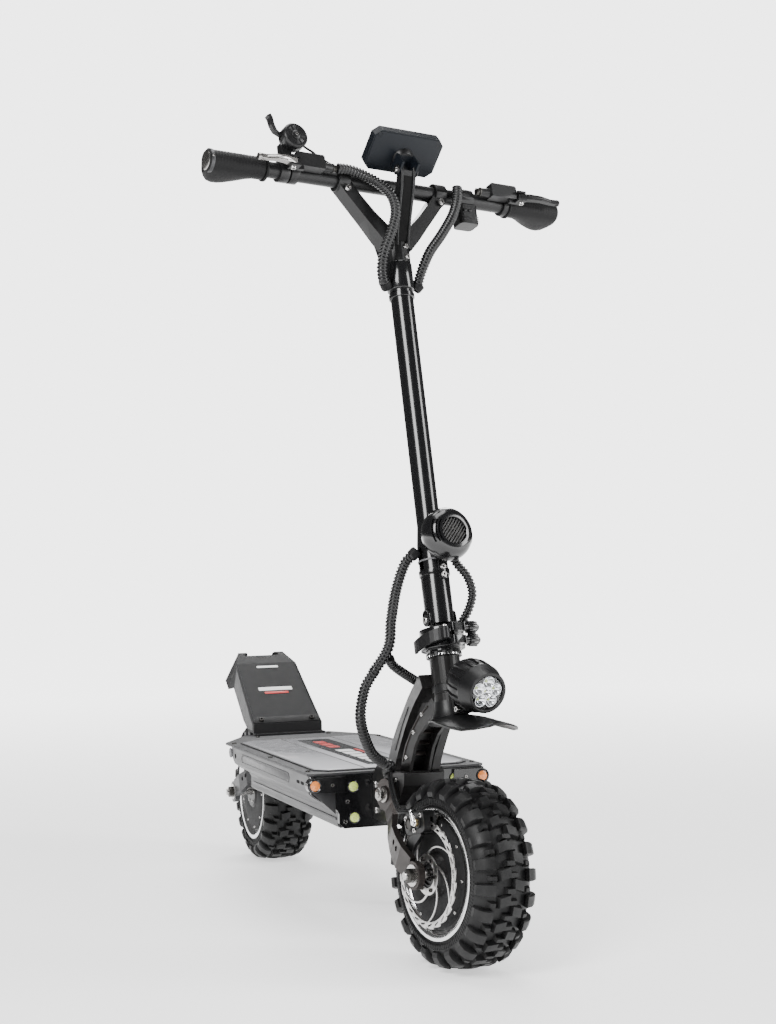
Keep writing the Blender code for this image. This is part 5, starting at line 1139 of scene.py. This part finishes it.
for k, (x0, x1, y0, y1) in enumerate(((-0.036, -0.009, -0.018, 0.001), (-0.004, 0.012, -0.018, -0.007),
        (0.017, 0.037, -0.018, -0.007), (-0.037, 0.037, 0.0076, 0.009), (-0.037, -0.023, 0.012, 0.016),
        (0.023, 0.037, 0.012, 0.016))):
    seg = flat_cutout([rounded(x0, x1, y0, y1, 0.0007, 3)], 0.0003, 0.0001)
    piece("display_segment_%d" % k, seg, "plastic_grey", "stem", DISPLAY @ T((0, 0, 0.0149)))

# ---- horn
HORN = facing((0, 0, 0.15), (0, -1, 0))
horn = turned([(0, 0.029), (0.0325, 0.029), (0.0345, 0.0302), (0.0382, 0.0352), (0.04, 0.042), (0.0404, 0.0465),
    (0.0394, 0.053), (0.0368, 0.0596), (0.033, 0.0646), (0.029, 0.0676), (0.0245, 0.0688), (0.0214, 0.0692),
    (0.0206, 0.0684), (0.0204, 0.064), (0, 0.064)], 96)
slots = []
for side in (0, 180):
    for k in range(3):
        r = 0.0262 + 0.0042 * k
        a0, a1 = side - 38 + 4 * k, side + 38 - 4 * k
        pts = arc(r + 0.0009, a0, a1, 14) + arc(r - 0.0009, a1, a0, 14)
        slots.append(prism(pts, "Z", 0.055 - 0.0035 * k, 0.072))
horn = combine(horn, slots, "DIFFERENCE")
bore = rod((0, -0.1, 0), (0, 0.1, 0), 0.0218, 48)
horn = combine(horn, [bore], "DIFFERENCE")
strap_band = softened(turned([(0.0216, 0.0975), (0.0232, 0.0975), (0.0232, 0.1065), (0.0216, 0.1065)], 64), 0.0004, 2,
    50)
plate = softened(box(-0.006, 0.006, -0.025, -0.0222, 0.089, 0.126), 0.0008)
ob = piece("horn_shell", joined(horn, moved(joined(strap_band, plate), HORN.inverted())), "gloss_black", "stem", HORN,
    34.0)
screws("horn_plate_bolt", [(0, -0.0252, 0.1065), (0, -0.0252, 0.0945)], (0, -1, 0), 0.0044, "stem")
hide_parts("horn")
grille = []
for k in range(-4, 5):
    d = 0.0043 * k
    half = sqrt(max(0, 0.02 ** 2 - d * d))
    if half > 0.003:
        bar = softened(box(-half, half, d - 0.0011, d + 0.0011, 0.064, 0.0672), 0.0004, 1)
        grille.append(moved(bar, spun(52, "Z")))
piece("horn_grille", joined(*grille), "plastic", "stem", HORN)
dome = turned([(0, 0.064), (0.0198, 0.064), (0.0196, 0.0646), (0, 0.0652)], 64)
piece("horn_membrane", dome, "dark_steel", "stem", HORN)
tie = softened(turned([(0.0216, 0.1195), (0.0228, 0.1195), (0.0228, 0.122), (0.0216, 0.122)], 56), 0.0003, 1, 50)
piece("cable_tie", tie, "plastic_grey", "stem")
socket_screw("horn_band_screw", (0, 0.0252, 0.1015), (0, 1, 0), 0.0032, "stem")


routes = {
    "bar_cable_right": [(-0.106, -0.0265, 0.743), (-0.084, -0.0272, 0.743), (-0.058, -0.028, 0.736),
                        (-0.037, -0.034, 0.722), (-0.024, -0.043, 0.7), (-0.022, -0.046, 0.672),
                        (-0.03, -0.042, 0.642), (-0.041, -0.033, 0.612), (-0.043, -0.022, 0.589),
                        (-0.037, -0.011, 0.573), (-0.0284, -0.003, 0.565)],
    "bar_cable_left": [(0.115, -0.023, 0.744), (0.111, -0.024, 0.724), (0.099, -0.025, 0.694),
                       (0.073, -0.0255, 0.656), (0.048, -0.024, 0.624), (0.035, -0.018, 0.598),
                       (0.03, -0.009, 0.579), (0.0284, -0.004, 0.568)],
    "horn_cable": [(0.013, -0.033, 0.124), (0.02, -0.034, 0.108), (0.0325, -0.038, 0.088),
                   (0.0385, -0.037, 0.064), (0.0355, -0.029, 0.043), (0.0295, -0.016, 0.026),
                   (0.0225, -0.006, 0.014)],
    "stem_harness": [(-0.03, 0.002, 0.133), (-0.043, 0.012, 0.118), (-0.0577, 0.02, 0.0804),
                     (-0.072, 0.02, 0.0344), (-0.08, 0.023, -0.006), (-0.102, 0.038, -0.042)],
}
CABLE_SMOOTH = 70.0  # degrees between faces that still shade as one surface, wide for a wrapped cable
# The harness crosses two joints, so its lower run is a piece of its own, which ends at the chassis.
lower_run = [(-0.1, 0.0365, -0.0385), (-0.102, 0.038, -0.042), (-0.113, 0.05, -0.0655), (-0.113, 0.069, -0.105),
    (-0.088, 0.095, -0.145), (-0.06, 0.112, -0.16), (-0.044, 0.117, -0.1655)]
lower_run += [tuple(STEER.inverted() @ Vector(p)) for p in ((-0.0585, -0.358, 0.268), (-0.041, -0.32, 0.252))]
for name, route in routes.items():
    r = 0.007 if name == "horn_cable" else CABLE_R + 0.0006
    tube = wrapped(route, r)
    ob = piece(name + "_wrap", tube, "cable_wrap", None if name in ("stem_harness", "horn_cable") else "stem",
        angle=CABLE_SMOOTH)
    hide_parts(name)
    if name in ("stem_harness", "horn_cable"):
        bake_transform(ob)
ob = piece("stem_harness_tail", wrapped(lower_run, CABLE_R + 0.0006), "cable_wrap", None, angle=CABLE_SMOOTH)
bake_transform(ob)

neck_end = STEER.inverted() @ Vector((-0.018, -0.395, 0.402))
deck_route = [(-0.0735, 0.0345, -0.02), (-0.064, 0.044, -0.027), (-0.048, 0.049, -0.036), tuple(neck_end)]
ob = piece("deck_harness_wrap", wrapped(deck_route, 0.0074), "cable_wrap", None, angle=CABLE_SMOOTH)
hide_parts("deck_harness")
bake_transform(ob)
hose_spots = ((-0.05, -0.389, 0.266), (-0.0545, -0.402, 0.25), (-0.062, -0.425, 0.233), (-0.07, -0.447, 0.224),
              (-0.077, -0.468, 0.22), (-0.08, -0.49, 0.2225), (-0.079, -0.508, 0.2245))
for k, (dx, dy, dz) in enumerate(((0, 0, 0), (0.0015, -0.004, 0.003))):
    hose_route = [LEVEL @ Vector((x + dx, y + dy, z + dz)) for x, y, z in hose_spots]
    ob = piece("front_hose_lead_%d" % k, swept(hose_route[:3], 0.0021, 0.002, 12), "rubber", None, angle=CABLE_SMOOTH)
    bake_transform(ob)
    ob = piece("front_hose_%d" % k, swept(hose_route[2:], 0.0021, 0.002, 12), "rubber", None, angle=CABLE_SMOOTH)
    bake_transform(ob)
    if k == 0:
        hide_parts("brake_hose_front")
fitting = turned([(0, -0.004), (0.0034, -0.004), (0.0034, 0.005), (0.0026, 0.0058), (0.0026, 0.013), (0, 0.013)], 24)
piece("front_hose_fitting", fitting, "polished", "front_arm", FRONT_WHEEL @ spun(-14, "X")
    @ facing((-0.079, -0.012, 0.078), (0, 0.25, 1.0)))
for k, (at, along) in enumerate(((routes["bar_cable_right"][-1], (0.8, 0.6, -0.8)),
        (routes["bar_cable_left"][-1], (-0.8, 0.5, -0.9)), (routes["stem_harness"][0], (1, -0.7, 1)))):
    part = turned([(0.007, -0.006), (0.0089, -0.006), (0.0091, 0.003), (0.008, 0.006), (0.007, 0.006)], 32)
    piece("cable_cuff_%d" % k, part, "rubber", "stem", facing(at, along))

# ---- deck
MAT_TOP = DECK_TOP + 0.0022
panels = (("mat_centre", [(-0.046, -0.214), (0.046, -0.214), (0.046, 0.276), (-0.046, 0.276)]),
          ("mat_left", [(0.05, -0.214), (0.108, -0.214), (0.126, -0.196), (0.126, 0.258), (0.1, 0.282), (0.05, 0.282)]),
          ("mat_right", [(-0.05, -0.214), (-0.05, 0.282), (-0.1, 0.282), (-0.126, 0.258), (-0.126, -0.196),
                         (-0.108, -0.214)]))
dress("grip_mat", "plate_grey", 0.0004)
for name, outline in panels:
    piece(name, softened(prism(outline, "Z", MAT_TOP - 0.0002, MAT_TOP + 0.0006), 0.0004, 2), "sheet_white", "chassis")
strip = flat_cutout([rounded(-0.03, 0.03, -0.18, 0.24, 0.004, 5)], 0.0005, 0.0001)
piece("mat_strip", strip, "sheet_dark", "chassis", T((0, 0, MAT_TOP + 0.0008)))
marks = [(-0.016, 0.012, y, y + 0.032, "mark_white") for y in (-0.15, -0.108, -0.066, -0.024, 0.018)]
marks += [(0.018, 0.024, -0.1, 0.05, "mark_red")]
marks += [(-0.012, 0.008, y, y + 0.03, "mark_red") for y in (0.09, 0.13, 0.17)]
for k, (x0, x1, y0, y1, paint) in enumerate(marks):
    mark = flat_cutout([rounded(x0, x1, y0, y1, 0.003, 5)], 0.0004, 0.0001)
    piece("mat_mark_%d" % k, mark, paint, "chassis", T((0, 0, MAT_TOP + 0.0012)))
spots = [(x, y, DECK_TOP + 0.0002) for y in (-0.205, 0.02, 0.27) for x in (-0.1395, 0.1395)]
spots += [(x, 0.365, DECK_TOP + 0.0002) for x in (-0.07, 0.07)]
screws("deck_screw", spots, (0, 0, 1), 0.0042, "chassis", paint="dark_steel", height=0.0018)
SIDE_X = 0.1465
for s, side in SIDES:
    wall = T((s * SIDE_X, 0, 0)) @ Matrix(((0, 0, s, 0), (1, 0, 0, 0), (0, s * s, 0, 0), (0, 0, 0, 1)))
    outer = rounded(-0.12, 0.19, 0.2285, 0.2455, 0.0084, 10)
    inner = rounded(-0.1175, 0.1875, 0.231, 0.243, 0.006, 10)
    piece("side_recess_rim_" + side, flat_cutout([outer, inner], 0.0014, 0.0004), "deck_grey", "chassis", wall)
    piece("side_recess_" + side, flat_cutout([inner], 0.0005, 0.0001), "arm_grey", "chassis", wall)
    # Painted shade: the two slots are dull black shapes on the wall, for the shade inside them.
    for k, y in enumerate((-0.196, -0.172)):
        piece("side_slot_%s_%d" % (side, k), flat_cutout([rounded(y - 0.0085, y + 0.0085, 0.2345, 0.2395, 0.0024, 6)],
            0.0006, 0.0001), "painted_shade_black", "chassis", wall)
    # Painted shade: the port is a dull black disc on the wall, for the shade in its opening.
    piece("side_port_" + side, flat_cutout([arc(0.0045, 0, 345, 23, 0.235, 0.237)], 0.0006, 0.0001), "painted_shade_black",
        "chassis", wall)
    rail = softened(box(s * 0.1006 - 0.001, s * 0.1006 + 0.001, -0.225, 0.29, 0.1795, 0.1835), 0.0006)
    piece("box_rail_" + side, rail, "deck_grey", "chassis")

# ---- front plate lamps
FACE_Y = DECK_FRONT - 0.003
FRONT = T((0, FACE_Y, 0)) @ Matrix(((1, 0, 0, 0), (0, 0, -1, 0), (0, 1, 0, 0), (0, 0, 0, 1)))
for k, (x, z) in enumerate(((-0.076, 0.2327), (-0.075, 0.184), (0.095, 0.236), (0.078, 0.184))):
    ring = turned([(0.0076, 0), (0.0094, 0), (0.0094, 0.0008), (0.0084, 0.0014), (0.0076, 0.0008)], 36)
    piece("marker_ring_%d" % k, ring, "gloss_black", "chassis", FRONT @ T((x, z, 0)))
    gem = bmesh.new()
    bmesh.ops.create_uvsphere(gem, u_segments=12, v_segments=8, radius=0.0079)
    bmesh.ops.transform(gem, matrix=Matrix.Diagonal((1, 1, 0.3, 1)), verts=gem.verts[:])
    piece("marker_lamp_%d" % k, gem, "led", "chassis", FRONT @ T((x, z, 0.0004)), 5.0)
for s, side in SIDES:
    x = s * 0.1405
    ring = turned([(0.008, 0), (0.0106, 0), (0.0106, 0.001), (0.0092, 0.002), (0.008, 0.0012)], 44)
    piece("side_lamp_ring_" + side, ring, "gloss_black", "chassis", FRONT @ T((x, 0.2375, 0.006)))
    lens = turned([(0, 0), (0.0081, 0), (0.0078, 0.001), (0.0056, 0.0022), (0, 0.003)], 40)
    piece("side_lamp_lens_" + side, lens, "amber", "chassis", FRONT @ T((x, 0.2375, 0.006)))
for s, side in SIDES:
    socket_screw("side_lamp_screw_" + side, (s * 0.112, DECK_FRONT - 0.0092, 0.2375), (0, -1, 0), 0.0026, "chassis",
        paint="alloy")
    face = softened(prism([(s * 0.144, 0.2262), (s * 0.106, 0.2262), (s * 0.106, 0.191)], "Y", FACE_Y - 0.0009,
        FACE_Y - 0.0001), 0.0003)
    piece("wing_face_" + side, face, "arm_grey", "chassis")
spots = [(s * x, FACE_Y, z) for x, z in ((0.086, 0.2098), (0.09, 0.178)) for s in (-1, 1)]
screws("front_plate_screw", spots, (0, -1, 0), 0.0036, "chassis")
for s, side in SIDES:
    cap = turned([(0, 0), (0.009, 0), (0.009, 0.001), (0.0078, 0.0022), (0, 0.0026)], 40)
    piece("rear_pod_%s" % side, cap, "plastic_grey", "chassis", facing((s * 0.1466, 0.267, 0.24), (s, 0, 0)))

# ---- footrest and tail light
slope = Vector((0, 0.154, 0.107)).normalized()
normal = Vector((0, -0.571, 0.821)).normalized()
REST = T((0, 0.402, 0.2765)) @ Matrix((Vector((1, 0, 0)), slope, normal)).transposed().to_4x4()
for name, x0, x1, y0, y1, paint in (("rest_mark_bar", -0.034, 0.034, 0.1, 0.11, "mark_white"),
                                    ("rest_mark_line", -0.024, 0.024, 0.09, 0.096, "mark_red"),
                                    ("rest_mark_lip", -0.022, 0.022, 0.172, 0.178, "mark_white")):
    mark = flat_cutout([rounded(x0, x1, y0, y1, 0.0018, 5)], 0.0005, 0.0001)
    piece(name, mark, paint, "chassis", REST @ T((0, 0, 0.0002)))
for s, side in SIDES:
    rim = swept([(s * 0.066, 0.004, 0.0006), (s * 0.06, 0.183, 0.0006)], 0.0012, 0.01, 8)
    piece("rest_edge_" + side, rim, "arm_grey", "chassis", REST)
strip = softened(box(-0.067, 0.067, 0.001, 0.019, 0.0002, 0.0012), 0.0005)
piece("rest_band", strip, "rubber", "chassis", REST)
screws("rest_bolt", [(x, 0.01, 0.0012) for x in (-0.05, 0.05)], (0, 0, 1), 0.0048, "chassis", REST, "dark_steel")
for s, side in SIDES:
    flank = prism([(0.408, 0.272), (0.551, 0.3715), (0.58, 0.333), (0.518, 0.295), (0.498, 0.282), (0.455, 0.264),
        (0.41, 0.264)], "X", 0, 0.0008)
    for v in flank.verts:
        k = (v.co.y - 0.402) / 0.154
        v.co.x = s * (v.co.x + 0.0664 + (0.0589 - 0.0664) * k + 0.0015)
    piece("rest_side_%s" % side, recalc(flank), "plate_grey", "chassis")
TAIL = T((0, 0.6342, 0.3713)) @ spun(-41.9, "X")
frame_ring = flat_cutout([rounded(-0.037, 0.037, -0.0138, 0.0138, 0.007, 6), rounded(-0.0338, 0.0338, -0.0108, 0.0108,
    0.0056, 6)], 0.003, 0.0006)
piece("tail_light_bezel", frame_ring, "gloss_black", "chassis", TAIL @ T((0, 0, 0.0016)))
for k in range(11):
    x = -0.027 + 0.0054 * k
    bar = softened(box(x - 0.0011, x + 0.0011, -0.009, 0.009, 0.0096, 0.0108), 0.0005)
    piece("tail_light_rib_%d" % k, bar, "red_lens", "chassis", TAIL)

# ---- floor, light and camera
SENSOR_MM = 36.0
FOCAL_PX = 1800.0
PHOTO_HEIGHT_PX = 1024.0
CAMERA_AT = Vector((-0.9424, -2.949, 0.599))
AZ = radians(-19.03)
PITCH = radians(-1.3)
ROLL = radians(-1.25)
ahead = Vector((-sin(AZ) * cos(PITCH), cos(AZ) * cos(PITCH), -sin(PITCH)))
right = Vector((cos(AZ), sin(AZ), 0.0))
up = right.cross(ahead)
tilted_right = right * cos(ROLL) + up * sin(ROLL)
tilted_up = up * cos(ROLL) - right * sin(ROLL)
cam = bpy.data.cameras.new("camera")
cam.sensor_fit = "VERTICAL"
cam.sensor_height = SENSOR_MM
cam.lens = FOCAL_PX * SENSOR_MM / PHOTO_HEIGHT_PX
cam.clip_start = 0.05
camera = linked("camera", cam)
camera.matrix_world = T(CAMERA_AT) @ Matrix((tilted_right, tilted_up, -ahead)).transposed().to_4x4()
bpy.context.scene.camera = camera

WHITE = (1.0, 1.0, 1.0, 1.0)
pale, tree, bsdf = new_material("studio_floor")
fill(bsdf, Base_Color=(0.9, 0.9, 0.9, 1.0), Roughness=0.75, Specular_IOR_Level=0.2, Emission_Color=WHITE)
span = tree.nodes.new("ShaderNodeVectorMath")
span.operation = "LENGTH"
tree.links.new(tree.nodes.new("ShaderNodeTexCoord").outputs["Object"], span.inputs[0])
fade = tree.nodes.new("ShaderNodeMapRange")
fade.interpolation_type = "SMOOTHSTEP"
fill(fade, From_Min=0.6, From_Max=5.0, To_Min=0.9, To_Max=3.9)
tree.links.new(span.outputs["Value"], fade.inputs["Value"])
tree.links.new(fade.outputs["Result"], bsdf.inputs["Emission Strength"])
bm = bmesh.new()
bmesh.ops.create_circle(bm, cap_ends=True, segments=96, radius=14.0)
me = bpy.data.meshes.new("studio_floor")
bm.to_mesh(me)
bm.free()
me.materials.append(pale)
floor = linked("studio_floor", me)
floor.location = (0.0, 0.0, -0.0006)

world = bpy.data.worlds.new("studio")
world.use_nodes = True
tree = world.node_tree
dim = tree.nodes["Background"]
fill(dim, Color=WHITE, Strength=0.11)
bright = tree.nodes.new("ShaderNodeBackground")
fill(bright, Color=WHITE, Strength=4.0)
seen = tree.nodes.new("ShaderNodeLightPath")
both = tree.nodes.new("ShaderNodeMixShader")
tree.links.new(seen.outputs["Is Camera Ray"], both.inputs[0])
tree.links.new(dim.outputs[0], both.inputs[1])
tree.links.new(bright.outputs[0], both.inputs[2])
tree.links.new(both.outputs[0], tree.nodes["World Output"].inputs["Surface"])
bpy.context.scene.world = world


def softbox(name, at, target, width, height, watts):
    light = bpy.data.lights.new(name, "AREA")
    light.shape = "RECTANGLE"
    light.size = width
    light.size_y = height
    light.energy = watts
    ob = linked(name, light)
    aim = (Vector(target) - Vector(at)).to_track_quat("-Z", "Y")
    ob.matrix_world = T(Vector(at)) @ aim.to_matrix().to_4x4()
    return ob


lights = [softbox("key", (-1.9, -2.1, 2.3), (0, -0.1, 0.5), 1.2, 1.6, 115.0),
          softbox("fill", (2.2, -1.6, 1.5), (0, -0.1, 0.5), 0.8, 1.8, 60.0),
          softbox("rim", (0.6, 2.2, 2.4), (0, 0.1, 0.5), 1.6, 1.0, 60.0),
          softbox("top", (0.0, 0.0, 3.0), (0, 0, 0.5), 1.6, 2.2, 62.0)]
